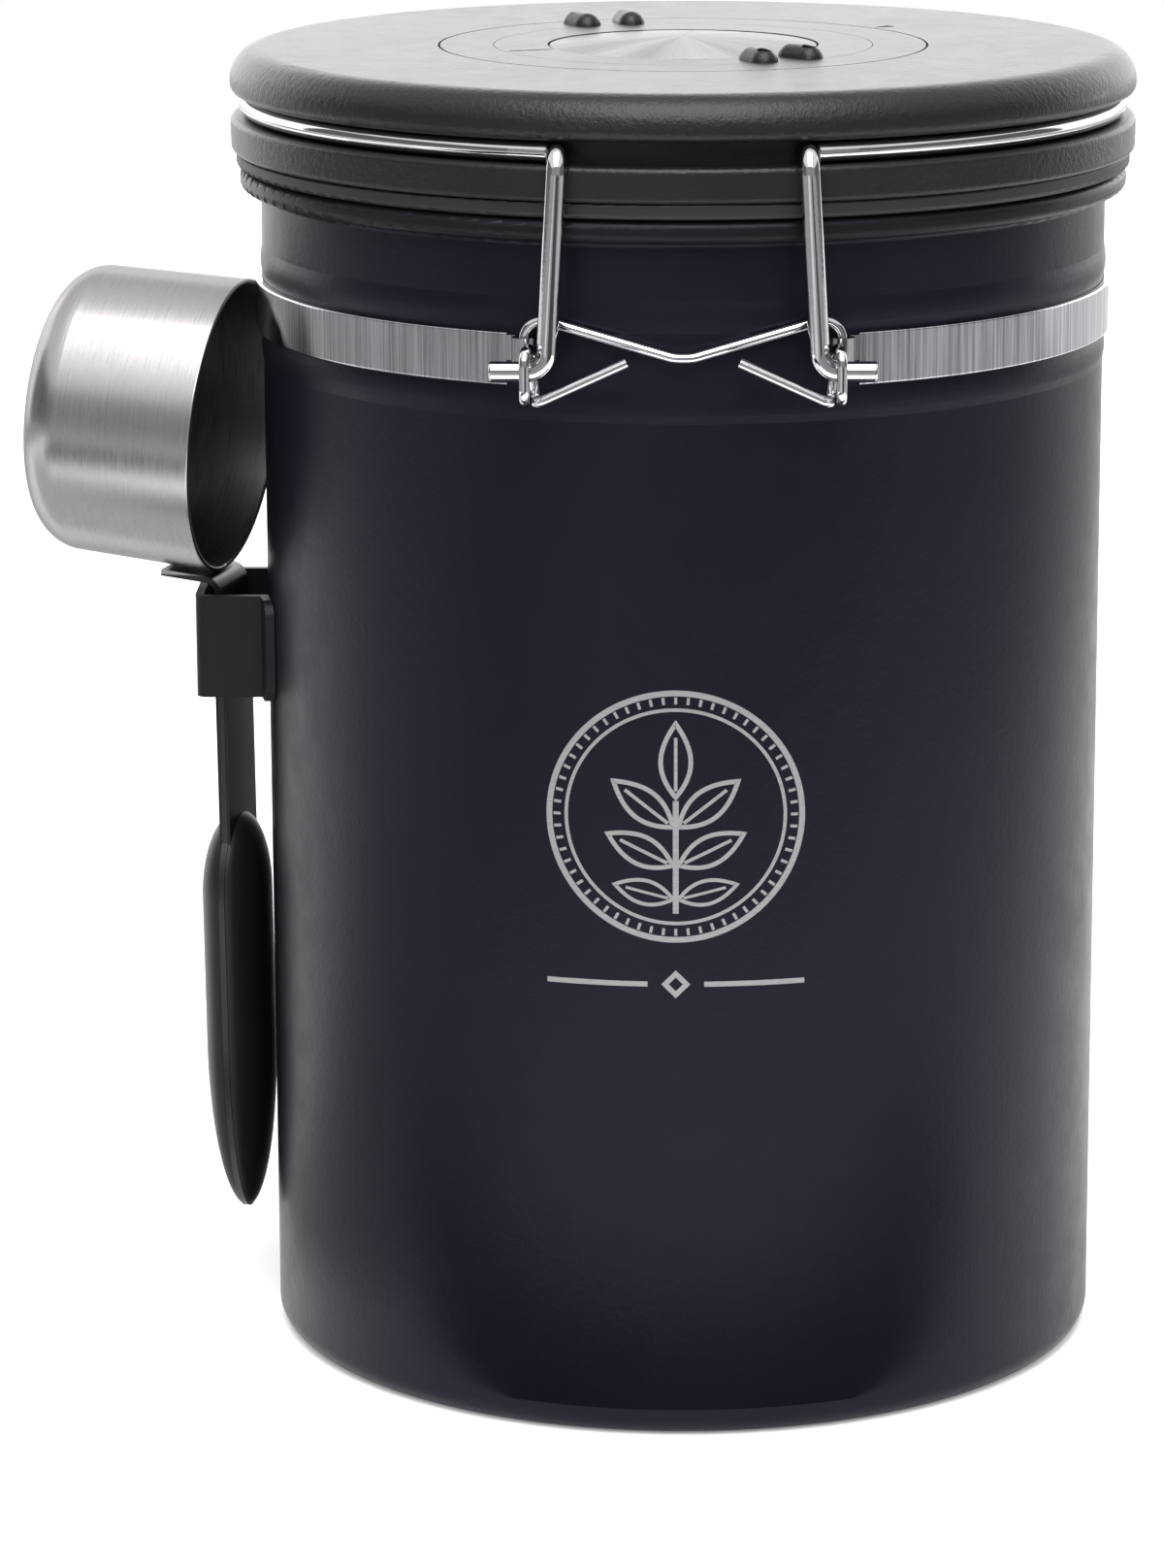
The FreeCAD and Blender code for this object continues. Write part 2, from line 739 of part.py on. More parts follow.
def latch_clip():
    """Spring wire clip, hanging open below its ears."""
    low = latch_z - clip_reach
    corners = [
        (vec(0, latch_y, low - thumb_depth), 0),
        (vec(thumb_half - thumb_bend / 2, latch_y, low - thumb_depth), thumb_bend),
        (vec(thumb_half, latch_y, low), thumb_bend),
        (vec(clip_top_x - clip_corner_inset, latch_y, low), clip_corner_bend),
        (vec(clip_top_x + clip_waist_outset, latch_y, latch_z - clip_waist_drop), clip_waist_bend),
        (vec(clip_top_x, latch_y, latch_z), clip_top_bend),
        (vec(ear_inner_x - clip_pin_stop, latch_y, latch_z), 0),
    ]
    return both_sides(bent_wire(corners, clip_wire_radius))


def scoop_holder():
    """Bent sheet sleeve with two flanges that follow the can."""
    low, high = holder_low, holder_high
    near, far = scoop_y - holder_half, scoop_y + holder_half
    skin = can_radius + seat_gap
    sleeve = block((-holder_reach, -can_radius + overrun), (near, far), (low, high))
    corners = [edge for edge in sleeve.Edges
               if edge.BoundBox.XMax < -holder_reach + seat_gap and edge.BoundBox.ZLength > holder_height / 2]
    sleeve = sleeve.makeFillet(holder_bend, corners)
    flange = ring(skin, skin + holder_sheet, low, high)
    span = block((-holder_reach, 0), (near - holder_flange, far + holder_flange), (low, high))
    rounded = [edge for edge in span.Edges
               if edge.BoundBox.YLength < seat_gap and edge.BoundBox.ZLength < seat_gap]
    flange = flange.common(span.makeFillet(holder_flange_corner, rounded))
    inside = block((-holder_reach + holder_sheet, 0), (near + holder_sheet, far - holder_sheet),
                   (low - overrun, high + overrun))
    core = Part.makeCylinder(skin, high + overrun)
    return sleeve.fuse(flange).removeSplitter().cut(inside).cut(core)


def placed_scoop(shape):
    """From the scoop's own frame, X outwards from the can, to its place in the holder."""
    shape.rotate(vec(0, 0, (holder_low + holder_high) / 2), back, scoop_lean)
    shape.rotate(origin, up, 180 - scoop_twist)
    shape.translate(vec(-handle_x, scoop_y, 0))
    return shape


def cup_frame(shape):
    """From the cup's own frame, mouth at the origin and axis along Z, to the tilted cup."""
    shape.rotate(origin, back, 90 - cup_tilt)
    shape.translate(vec(-cup_set_in, 0, cup_centre_z))
    return shape


def scoop_cup():
    inner_share = cup_wall / cup_depth
    inner_end = cup_end_radius + (cup_radius - cup_end_radius) * inner_share - cup_wall
    cup = turned([
        (cup_radius - cup_wall, 0, cup_lip),
        (cup_radius, 0, cup_lip),
        (cup_end_radius, cup_depth, cup_corner),
        (0, cup_depth, 0),
        (0, cup_depth - cup_wall, 0),
        (inner_end, cup_depth - cup_wall, cup_corner - cup_wall),
    ])
    return placed_scoop(cup_frame(cup))


def strip_top():
    """Where the strip meets the underside of the tilted cup, in the scoop's frame."""
    tilt = math.radians(cup_tilt)
    drop = cup_radius + seat_gap + strip_thickness / 2
    return -cup_set_in + drop * math.sin(tilt), cup_centre_z - drop * math.cos(tilt)


def scoop_handle():
    """Strip under the cup, bent down through the holder and widened to the leaf-shaped tang."""
    taper = math.degrees(math.atan2(cup_radius - cup_end_radius, cup_depth))
    slope = math.radians(cup_tilt + taper)
    mouth_x, mouth_z = strip_top()
    lap_x = mouth_x + strip_lap * math.cos(slope)
    lap_z = mouth_z + strip_lap * math.sin(slope)
    bend_z = mouth_z - mouth_x * math.tan(slope)
    line = rounded_run([
        (vec(lap_x, 0, lap_z), 0),
        (vec(0, 0, bend_z), strip_bend),
        (vec(0, 0, neck_low), 0),
    ])
    normal = vec(-math.sin(slope), 0, math.cos(slope))
    half = strip_width / 2
    start = vec(lap_x, 0, lap_z)
    corners = [start + normal * (side * strip_thickness / 2) + back * (edge * half)
               for side, edge in ((-1, -1), (-1, 1), (1, 1), (1, -1))]
    section = Part.makePolygon(corners + [corners[0]])
    neck = line.makePipeShell([section], True, False)
    return placed_scoop(neck.fuse(leaf_plate()).removeSplitter())


def leaf_ends():
    """(height where it begins, length) of the leaf's blunt upper end and of its slim lower end."""
    return (leaf_top - leaf_shoulder, leaf_shoulder), (leaf_tip + leaf_taper, leaf_taper)


def stretched(shape, x_share, z_share):
    """The shape drawn out along X and Z."""
    stretch = FreeCAD.Matrix()
    stretch.scale(x_share, 1, z_share)
    return shape.transformGeometry(stretch)


def leaf_plate():
    """Flat tang with straight sides between its two oval ends."""
    half = strip_thickness / 2
    (high, _), (low, _) = leaf_ends()
    plate = block((-half, half), (-leaf_half, leaf_half), (low, high))
    for level, length in leaf_ends():
        disc = Part.makeCylinder(leaf_half, strip_thickness, right * -half, right)
        end = stretched(disc, 1, length / leaf_half)
        end.translate(up * level)
        plate = plate.fuse(end)
    return plate.removeSplitter()


def oval_pad(side, thickness):
    """Domed pad of the leaf's outline that lies on one face of the tang."""
    near = (strip_thickness + seat_gap) / 2
    depth_share = (thickness + near) / leaf_half
    (high, _), (low, _) = leaf_ends()
    pad = stretched(Part.makeCylinder(leaf_half, high - low), depth_share, 1)
    pad.translate(up * low)
    for (level, length), turn in zip(leaf_ends(), (0, 180)):
        dome = Part.makeSphere(leaf_half, origin, up, 0, 90, 360)
        end = stretched(dome, depth_share, length / leaf_half)
        end.rotate(origin, back, turn)
        end.translate(up * level)
        pad = pad.fuse(end)
    reach = sorted((side * near, side * (thickness + overrun)))
    across = (-leaf_half - overrun, leaf_half + overrun)
    return pad.common(block(reach, across, (leaf_tip - overrun, leaf_top + overrun)))


def grip_scale(side, thickness):
    """Plastic scale on one face of the strip: side is +1 outwards and -1 towards the can."""
    near = (strip_thickness + seat_gap) / 2
    reach = sorted((side * near, side * (near + neck_cover)))
    cover = block(reach, (-strip_width / 2, strip_width / 2), (neck_low, grip_top))
    return placed_scoop(cover.fuse(oval_pad(side, thickness)).removeSplitter())


def build():
    return {
        "can_body": can_body(),
        "clamp_band": clamp_band(),
        "hinge_eye_wire": hinge_eye_wire(),
        "latch_bracket": latch_bracket(),
        "latch_rivets": latch_rivets(),
        "scoop_holder": scoop_holder(),
        "lid_cover": lid_cover(),
        "lid_base": lid_base(),
        "lid_gasket": lid_gasket(),
        "bail_wire": bail_wire(),
        "valve_body": valve_body(),
        "valve_oring": valve_oring(),
        "valve_filter": valve_filter(),
        "valve_retainer": valve_retainer(),
        "centre_cap": centre_cap(),
        "valve_disc": valve_disc(),
        "month_dial": month_dial(),
        "day_dial": day_dial(),
        "latch_clip": latch_clip(),
        "scoop_cup": scoop_cup(),
        "scoop_handle": scoop_handle(),
        "grip_outer_scale": grip_scale(1, outer_pad),
        "grip_inner_scale": grip_scale(-1, inner_pad),
    }


def main():
    os.makedirs("parts", exist_ok=True)
    for name, shape in build().items():
        solids = len(shape.Solids)
        print("%-18s solids %d valid %s volume %.1f" % (name, solids, shape.isValid(), shape.Volume))
        shape.exportStep("parts/%s.step" % name)


main()
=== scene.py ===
import math

import bpy
from bpy.props import FloatProperty, FloatVectorProperty, PointerProperty
from mathutils import Matrix, Vector


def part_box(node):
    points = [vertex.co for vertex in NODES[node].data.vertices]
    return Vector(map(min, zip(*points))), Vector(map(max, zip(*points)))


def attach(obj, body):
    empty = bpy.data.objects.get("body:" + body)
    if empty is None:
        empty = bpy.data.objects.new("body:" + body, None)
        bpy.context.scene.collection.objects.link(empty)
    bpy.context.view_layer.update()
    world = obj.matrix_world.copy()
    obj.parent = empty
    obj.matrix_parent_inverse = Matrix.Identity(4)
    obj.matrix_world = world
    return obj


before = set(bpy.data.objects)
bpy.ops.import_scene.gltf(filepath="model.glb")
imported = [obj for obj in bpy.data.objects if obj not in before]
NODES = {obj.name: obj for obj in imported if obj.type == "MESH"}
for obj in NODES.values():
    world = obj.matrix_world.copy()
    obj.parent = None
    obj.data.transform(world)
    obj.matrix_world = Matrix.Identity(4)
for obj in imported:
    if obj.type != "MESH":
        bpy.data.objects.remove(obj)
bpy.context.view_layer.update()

bl_info = {
    "name": "Coffee canister",
    "version": (1, 0, 0),
    "blender": (4, 5, 0),
    "location": "View3D > Sidebar > Canister",
    "description": "Gives a coffee canister its finishes and small parts, and sets up its studio",
    "category": "Object",
}

MM = 0.001

# The scoop is turned in its holder and leans towards the can, and its cup is tilted.
SCOOP_PLACE = Vector((-65.5, 1.0, 0.0)) * MM
SCOOP_TWIST = math.radians(14.0)
SCOOP_LEAN = math.radians(0.6)
LEAN_PIVOT = Vector((0.0, 0.0, 101.8)) * MM
CUP_TILT = math.radians(5.6)
CUP_PLACE = Vector((-1.35, 0.0, 132.1)) * MM

# Where one finish meets another on the same solid, and how wide the change is: the can's rolled rim, the
# inside of its wall, the top of its base's corner, and the plastic on the scoop's strip.
RIM_LOW = 167.2 * MM
RIM_FADE = 0.3 * MM
INSIDE_RADIUS = 59.6 * MM
CORNER_TOP = 3.3 * MM
STEEL_FADE = 0.1 * MM
GRIP_TOP = 111.0 * MM
GRIP_FADE = 0.2 * MM

# A face below the top of the corner counts as the can's floor if it looks up: not yet at the first of these
# and wholly at the second, where 0 is sideways and 1 is straight up.
FLOOR_FACING = (0.1, 0.2)

# Grain: its coarser bumps and its mottling, as shares of the fine bumps' scale.
COARSE_SHARE = 0.37
MOTTLE_SHARE = 0.012

# Turned brush marks take no radius smaller than this, so that nothing is divided by zero on the axis.
AXIS_GUARD = 0.001 * MM

# The ornament's ring, sprig and divider, as shares of the ring's radius.
INNER_RING_SHARE = 0.86
TICK_RING_SHARE = 0.918
TICK_LENGTH_SHARE = 0.055
LEAF_SHARE = 0.64
LOZENGE_SHARE = 0.16
DASH_SHARE = 0.78
DASH_MIDDLE_SHARE = 0.61

# Its lighter lines, as shares of the heavier one.
INNER_RING_LINE_SHARE = 0.6
TICK_LINE_SHARE = 0.5
LEAF_LINE_SHARE = 0.8
VEIN_LINE_SHARE = 0.6
DIVIDER_LINE_SHARE = 0.9

# The sprig, as shares of a leaf's length: half the leaf's width, the height of its handles, its vein and the
# stem.
LEAF_HALF_SHARE = 0.21
LEAF_BULGE_SHARES = (0.32, 0.62)
VEIN_SHARE = 0.66
VEIN_MIDDLE_SHARE = 0.45
STEM_SHARE = 1.4
STEM_MIDDLE_SHARE = -0.5

# Leaves from the top down: the height of the foot as a share of the length, the turn in degrees and the
# size. Each of the pairs is turned to both sides.
TOP_LEAF = (0.20, 0.0, 1.0)
LEAF_PAIRS = ((-0.15, 52.0, 1.0), (-0.62, 64.0, 0.96), (-1.03, 76.0, 0.80))

# A leaf's side bulges three quarters as far out as its two handles reach.
HANDLE_REACH = 4 / 3

# How finely the ornament is cut, so that it can follow the can.
RING_STEPS = 180
LEAF_STEPS = 20
BAR_CUTS = 12
TICK_CUTS = 1

# How many marks stand round its ring, the largest bend that counts as straight, the largest that is shaded
# smooth, and how near to each other corners are merged.
TICK_COUNT = 60
STRAIGHT_ANGLE = math.radians(0.5)
SMOOTH_ANGLE = math.radians(40.0)
MERGE_GAP = 0.0001 * MM

# The ornament is laid on from in front of the can. Each of its lines stands prouder than the one before by a
# share of the rise, so that no two lie in one face.
WRAP_START = -80.0 * MM
LAYER_STEP_SHARE = 0.03

# Black pieces on the lid's top that paint the shade inside the inner dial's index slot and the recess of the
# lid's pointer: the direction, counted from the front towards the right, the distances from the lid's
# middle, half the width and the number of corners.
INDEX_AZIMUTH = math.radians(-69.0)
INDEX_SPAN = (19.6 * MM, 26.2 * MM)
INDEX_HALF = 0.22 * MM
INDEX_CORNERS = 8
POINTER_AZIMUTH = math.radians(128.0)
POINTER_SPAN = (35.4 * MM, 39.4 * MM)
POINTER_HALF = 0.9 * MM
POINTER_CORNERS = 3
SLOT_SHADE_RISE = 0.03 * MM
SLOT_SHADE_BEVEL = 0.01 * MM

# The valve's plastic has the lid's colour times this.
VALVE_LIGHTER = 2.2

# Lamps, which all face one point: name, place, width, height, and which of the stage's powers each has.
LAMP_AIM = Vector((0.0, 0.0, 0.1))
LAMPS = (
    ("left_softbox", (-1.3, 1.0, 0.45), 1.0, 1.1, "side_power"),
    ("right_softbox", (1.3, 1.0, 0.45), 1.0, 1.1, "side_power"),
    ("top_softbox", (0.0, -0.65, 1.3), 1.0, 1.5, "top_power"),
    ("back_softbox", (0.0, 1.4, 0.5), 2.4, 0.9, "back_power"),
)

# Cards that stand round the object: name, place, the way that it faces, width, height and grey level.
STANDING_CARDS = (
    ("front_card", (0.0, -1.7, 0.5), (0, 1, 0), 3.4, 1.0, 0.35),
    ("left_card", (-1.7, -0.5, 0.5), (1, 0, 0), 2.4, 1.0, 0.16),
    ("right_card", (1.7, -0.5, 0.5), (-1, 0, 0), 2.4, 1.0, 0.16),
)

# Cards that lie just above the floor, each a little higher than those it covers: name, place, width, depth
# and grey level.
LYING_CARDS = (
    ("floor_card", (0.0, -1.02, 0.004), 3.4, 1.36, 0.42),
    ("left_floor_card", (-0.25, -0.27, 0.005), 0.24, 0.25, 0.0),
    ("bright_strip_card", (-0.33, -1.02, 0.006), 0.34, 1.3, 0.9),
    ("dark_strip_card", (0.36, -1.02, 0.006), 0.46, 1.3, 0.08),
    ("foot_card", (0.0, -0.080, 0.004), 0.3, 0.05, 0.0),
    ("foreground_card", (0.0, -0.175, 0.006), 0.4, 0.13, 2.2),
    ("right_floor_card", (0.85, -0.1, 0.005), 0.8, 0.9, 0.62),
    ("near_floor_card", (-0.25, -0.04, 0.003), 0.34, 0.16, 0.8),
    ("far_left_card", (-0.92, 0.15, 0.005), 0.6, 1.0, 0.44),
    ("right_back_card", (0.65, 0.70, 0.004), 0.7, 0.7, 0.95),
)

FLOOR_GREY = 0.86
FLOOR_ROUGHNESS = 0.9

# The camera's sensor is given in millimetres, and how near and far it sees in metres.
SENSOR_WIDTH = 36.0
CLIP_START = 0.01
CLIP_END = 100.0


class CanisterFinish(bpy.types.PropertyGroup):
    """Colours of the finishes."""

    paint: FloatVectorProperty(
        name="Can paint", description="Powder coat on the can", subtype="COLOR",
        size=3, min=0, max=1, default=(0.0050, 0.0050, 0.0097))
    plastic: FloatVectorProperty(
        name="Lid plastic", description="Moulded plastic of the lid and dials", subtype="COLOR",
        size=3, min=0, max=1, default=(0.0090, 0.0090, 0.0100))
    # The seal's colour is also that of the can's rolled rim, and the painted shade inside the dial's index
    # slot and the lid's pointer.
    rubber: FloatVectorProperty(
        name="Seal", description="Silicone of the gasket and the valve's seals", subtype="COLOR",
        size=3, min=0, max=1, default=(0.0070, 0.0070, 0.0078))
    steel: FloatVectorProperty(
        name="Steel", description="Bare steel of the band, the scoop's strip and the can's inside",
        subtype="COLOR", size=3, min=0, max=1, default=(0.51, 0.51, 0.545))
    wire: FloatVectorProperty(
        name="Wire", description="Plated wire of the hinge and the latch", subtype="COLOR",
        size=3, min=0, max=1, default=(0.64, 0.64, 0.66))
    cup: FloatVectorProperty(
        name="Cup", description="Bare steel of the scoop's cup", subtype="COLOR",
        size=3, min=0, max=1, default=(0.435, 0.420, 0.420))
    cap: FloatVectorProperty(
        name="Cap", description="Bare steel of the valve's cap", subtype="COLOR",
        size=3, min=0, max=1, default=(0.60, 0.60, 0.60))
    grip: FloatVectorProperty(
        name="Grip", description="Plastic of the scoop's grip and paint of its holder", subtype="COLOR",
        size=3, min=0, max=1, default=(0.0075, 0.0075, 0.0095))
    etched: FloatVectorProperty(
        name="Etched", description="Bare etched steel of the ornament", subtype="COLOR",
        size=3, min=0, max=1, default=(0.29, 0.29, 0.295))
    felt: FloatVectorProperty(
        name="Filter felt", description="Felt disc under the valve", subtype="COLOR",
        size=3, min=0, max=1, default=(0.62, 0.60, 0.55))


class CanisterEmblem(bpy.types.PropertyGroup):
    """Etched ornament on the can's front."""

    middle_x: FloatProperty(
        name="Middle X", description="How far right of the can's middle it stands", subtype="DISTANCE",
        unit="LENGTH", default=-1.0 * MM)
    middle_z: FloatProperty(
        name="Middle Z", description="Height of the ring's middle", subtype="DISTANCE", unit="LENGTH",
        default=89.0 * MM)
    divider_z: FloatProperty(
        name="Divider Z", description="Height of the divider below the ring", subtype="DISTANCE",
        unit="LENGTH", default=65.5 * MM)
    radius: FloatProperty(
        name="Radius", description="Outer radius of the ring", subtype="DISTANCE", unit="LENGTH",
        default=17.6 * MM)
    line: FloatProperty(
        name="Line", description="Width of its heavier lines", subtype="DISTANCE", unit="LENGTH",
        default=0.8 * MM)
    rise: FloatProperty(
        name="Rise", description="How far the metal stands proud of the paint", subtype="DISTANCE",
        unit="LENGTH", default=0.05 * MM)


class CanisterStage(bpy.types.PropertyGroup):
    """Camera, lamps and floor."""

    camera_place: FloatVectorProperty(
        name="Camera place", description="Where the camera stands", subtype="TRANSLATION", unit="LENGTH",
        size=3, default=(0.0, -0.816, 0.2755))
    camera_pitch: FloatProperty(
        name="Camera pitch", description="How far the camera looks down", subtype="ANGLE", unit="ROTATION",
        default=math.radians(14.0))
    lens: FloatProperty(
        name="Lens", description="Focal length in millimetres on a 36 mm sensor", default=131.86, min=10)
    shift_x: FloatProperty(
        name="Shift X", description="Sideways shift that the framing needs", default=-0.0645)
    shift_y: FloatProperty(
        name="Shift Y", description="Upward shift that the framing needs", default=0.0303)
    floor_half: FloatProperty(
        name="Floor", description="Half the floor's side", subtype="DISTANCE", unit="LENGTH", default=1.4)
    floor_fill: FloatProperty(
        name="Floor fill", description="How much brighter the floor is seen than it is lit",
        default=0.22, min=0)
    side_power: FloatProperty(
        name="Side lamps", description="Power of each side lamp in watts", default=3.6, min=0)
    top_power: FloatProperty(
        name="Top lamp", description="Power of the lamp overhead in watts", default=30.0, min=0)
    back_power: FloatProperty(
        name="Back lamp", description="Power of the lamp behind in watts", default=13.5, min=0)
    ambient: FloatProperty(
        name="Ambient", description="Strength of the room's own light", default=0.7, min=0)


def deselect_all():
    """Leave nothing selected before an operator runs."""
    if bpy.context.mode != "OBJECT":
        bpy.ops.object.mode_set(mode="OBJECT")
    bpy.ops.object.select_all(action="DESELECT")


def select_only(piece):
    """Leave one piece selected and active."""
    deselect_all()
    piece.select_set(True)
    bpy.context.view_layer.objects.active = piece


def socket(group, name, direction, kind="NodeSocketFloat", default=None):
    """Add a named socket to a node group."""
    made = group.interface.new_socket(name=name, in_out=direction, socket_type=kind)
    if default is not None:
        made.default_value = default


def new_group(name):
    """Empty shader node group with its input and output nodes."""
    group = bpy.data.node_groups.new(name, "ShaderNodeTree")
    entry = group.nodes.new("NodeGroupInput")
    leave = group.nodes.new("NodeGroupOutput")
    return group, entry, leave


def math_node(tree, operation, first, second=None):
    """Math node whose inputs are sockets or numbers; gives its output."""
    node = tree.nodes.new("ShaderNodeMath")
    node.operation = operation
    for number, value in enumerate((first, second)):
        if value is None:
            continue
        if isinstance(value, (int, float)):
            node.inputs[number].default_value = value
        else:
            tree.links.new(value, node.inputs[number])
    return node.outputs[0]


def noise_node(tree, vector, scale, detail, rough):
    """Noise texture whose scale is a socket or a number; gives its value."""
    node = tree.nodes.new("ShaderNodeTexNoise")
    node.inputs["Detail"].default_value = detail
    node.inputs["Roughness"].default_value = rough
    if isinstance(scale, (int, float)):
        node.inputs["Scale"].default_value = scale
    else:
        tree.links.new(scale, node.inputs["Scale"])
    tree.links.new(vector, node.inputs["Vector"])
    return node.outputs["Fac"]


def spread(tree, value, low, high, out_low=0.0, out_high=1.0):
    """Map a value from one range to another, clamped."""
    node = tree.nodes.new("ShaderNodeMapRange")
    for name, number in (("From Min", low), ("From Max", high), ("To Min", out_low), ("To Max", out_high)):
        node.inputs[name].default_value = number
    tree.links.new(value, node.inputs["Value"])
    return node.outputs["Result"]


def split(tree, vector):
    """The three coordinates of a vector, one by one."""
    node = tree.nodes.new("ShaderNodeSeparateXYZ")
    tree.links.new(vector, node.inputs[0])
    return node.outputs


def from_axis(tree, x, y):
    """Distance from the Z axis."""
    square = math_node(tree, "ADD", math_node(tree, "MULTIPLY", x, x), math_node(tree, "MULTIPLY", y, y))
    return math_node(tree, "SQRT", square)


def grain_group():
    """Fine moulded or sprayed grain: bumps of two sizes, with soft mottling above them."""
    group, entry, leave = new_group("fine_grain")
    socket(group, "Vector", "INPUT", "NodeSocketVector")
    socket(group, "Scale", "INPUT", default=2500.0)
    socket(group, "Height", "OUTPUT")
    socket(group, "Mottle", "OUTPUT")
    vector = entry.outputs["Vector"]
    scale = entry.outputs["Scale"]
    fine = noise_node(group, vector, scale, detail=2.0, rough=0.5)
    coarse_scale = math_node(group, "MULTIPLY", scale, COARSE_SHARE)
    coarse = noise_node(group, vector, coarse_scale, detail=1.0, rough=0.5)
    height = math_node(group, "MULTIPLY", math_node(group, "ADD", fine, coarse), 0.5)
    group.links.new(height, leave.inputs["Height"])
    mottle_scale = math_node(group, "MULTIPLY", scale, MOTTLE_SHARE)
    mottle = noise_node(group, vector, mottle_scale, detail=3.0, rough=0.6)
    group.links.new(spread(group, mottle, 0.3, 0.7), leave.inputs["Mottle"])
    return group


def brush_marks(group, vector, leave):
    """Brush marks from coordinates that are already stretched: fine scratches and broad bands."""
    fine = noise_node(group, vector, 1.0, detail=4.0, rough=0.7)
    broad = noise_node(group, vector, 0.11, detail=2.0, rough=0.5)
    group.links.new(spread(group, fine, 0.28, 0.72), leave.inputs["Scratch"])
    group.links.new(spread(group, broad, 0.3, 0.7), leave.inputs["Band"])


def straight_brush_group():
    """Brush marks in straight lines, with a scale for each direction."""
    group, entry, leave = new_group("straight_brush")
    socket(group, "Vector", "INPUT", "NodeSocketVector")
    socket(group, "Stretch", "INPUT", "NodeSocketVector", (1.0, 1.0, 1.0))
    socket(group, "Scratch", "OUTPUT")
    socket(group, "Band", "OUTPUT")
    stretch = group.nodes.new("ShaderNodeVectorMath")
    stretch.operation = "MULTIPLY"
    group.links.new(entry.outputs["Vector"], stretch.inputs[0])
    group.links.new(entry.outputs["Stretch"], stretch.inputs[1])
    brush_marks(group, stretch.outputs["Vector"], leave)
    return group


def turned_brush_group():
    """Brush marks on a turned piece: one scale round its Z axis, one along its side and across its ends."""
    group, entry, leave = new_group("turned_brush")
    socket(group, "Vector", "INPUT", "NodeSocketVector")
    socket(group, "Around", "INPUT", default=1.0)
    socket(group, "Along", "INPUT", default=1.0)
    socket(group, "Scratch", "OUTPUT")
    socket(group, "Band", "OUTPUT")
    x, y, z = split(group, entry.outputs["Vector"])
    radius = math_node(group, "MAXIMUM", from_axis(group, x, y), AXIS_GUARD)
    turns = math_node(group, "DIVIDE", entry.outputs["Around"], radius)
    along = math_node(group, "ADD", z, radius)
    stretched = group.nodes.new("ShaderNodeCombineXYZ")
    scaled = (
        math_node(group, "MULTIPLY", x, turns),
        math_node(group, "MULTIPLY", y, turns),
        math_node(group, "MULTIPLY", along, entry.outputs["Along"]),
    )
    for value, place in zip(scaled, stretched.inputs):
        group.links.new(value, place)
    brush_marks(group, stretched.outputs[0], leave)
    return group


def smudge_group():
    """Faint handling marks and dust, as a mask."""
    group, entry, leave = new_group("handling_marks")
    socket(group, "Vector", "INPUT", "NodeSocketVector")
    socket(group, "Mask", "OUTPUT")
    large = noise_node(group, entry.outputs["Vector"], 28.0, detail=4.0, rough=0.62)
    small = noise_node(group, entry.outputs["Vector"], 210.0, detail=3.0, rough=0.6)
    both = math_node(group, "MULTIPLY", large, small)
    group.links.new(spread(group, both, 0.18, 0.42), leave.inputs["Mask"])
    return group


GROUP_MAKERS = {
    "grain": grain_group,
    "straight_brush": straight_brush_group,
    "turned_brush": turned_brush_group,
    "smudge": smudge_group,
}
SHARED = {}


def shared(name):
    """A shared node group, made the first time that it is asked for."""
    if name not in SHARED:
        SHARED[name] = GROUP_MAKERS[name]()
    return SHARED[name]


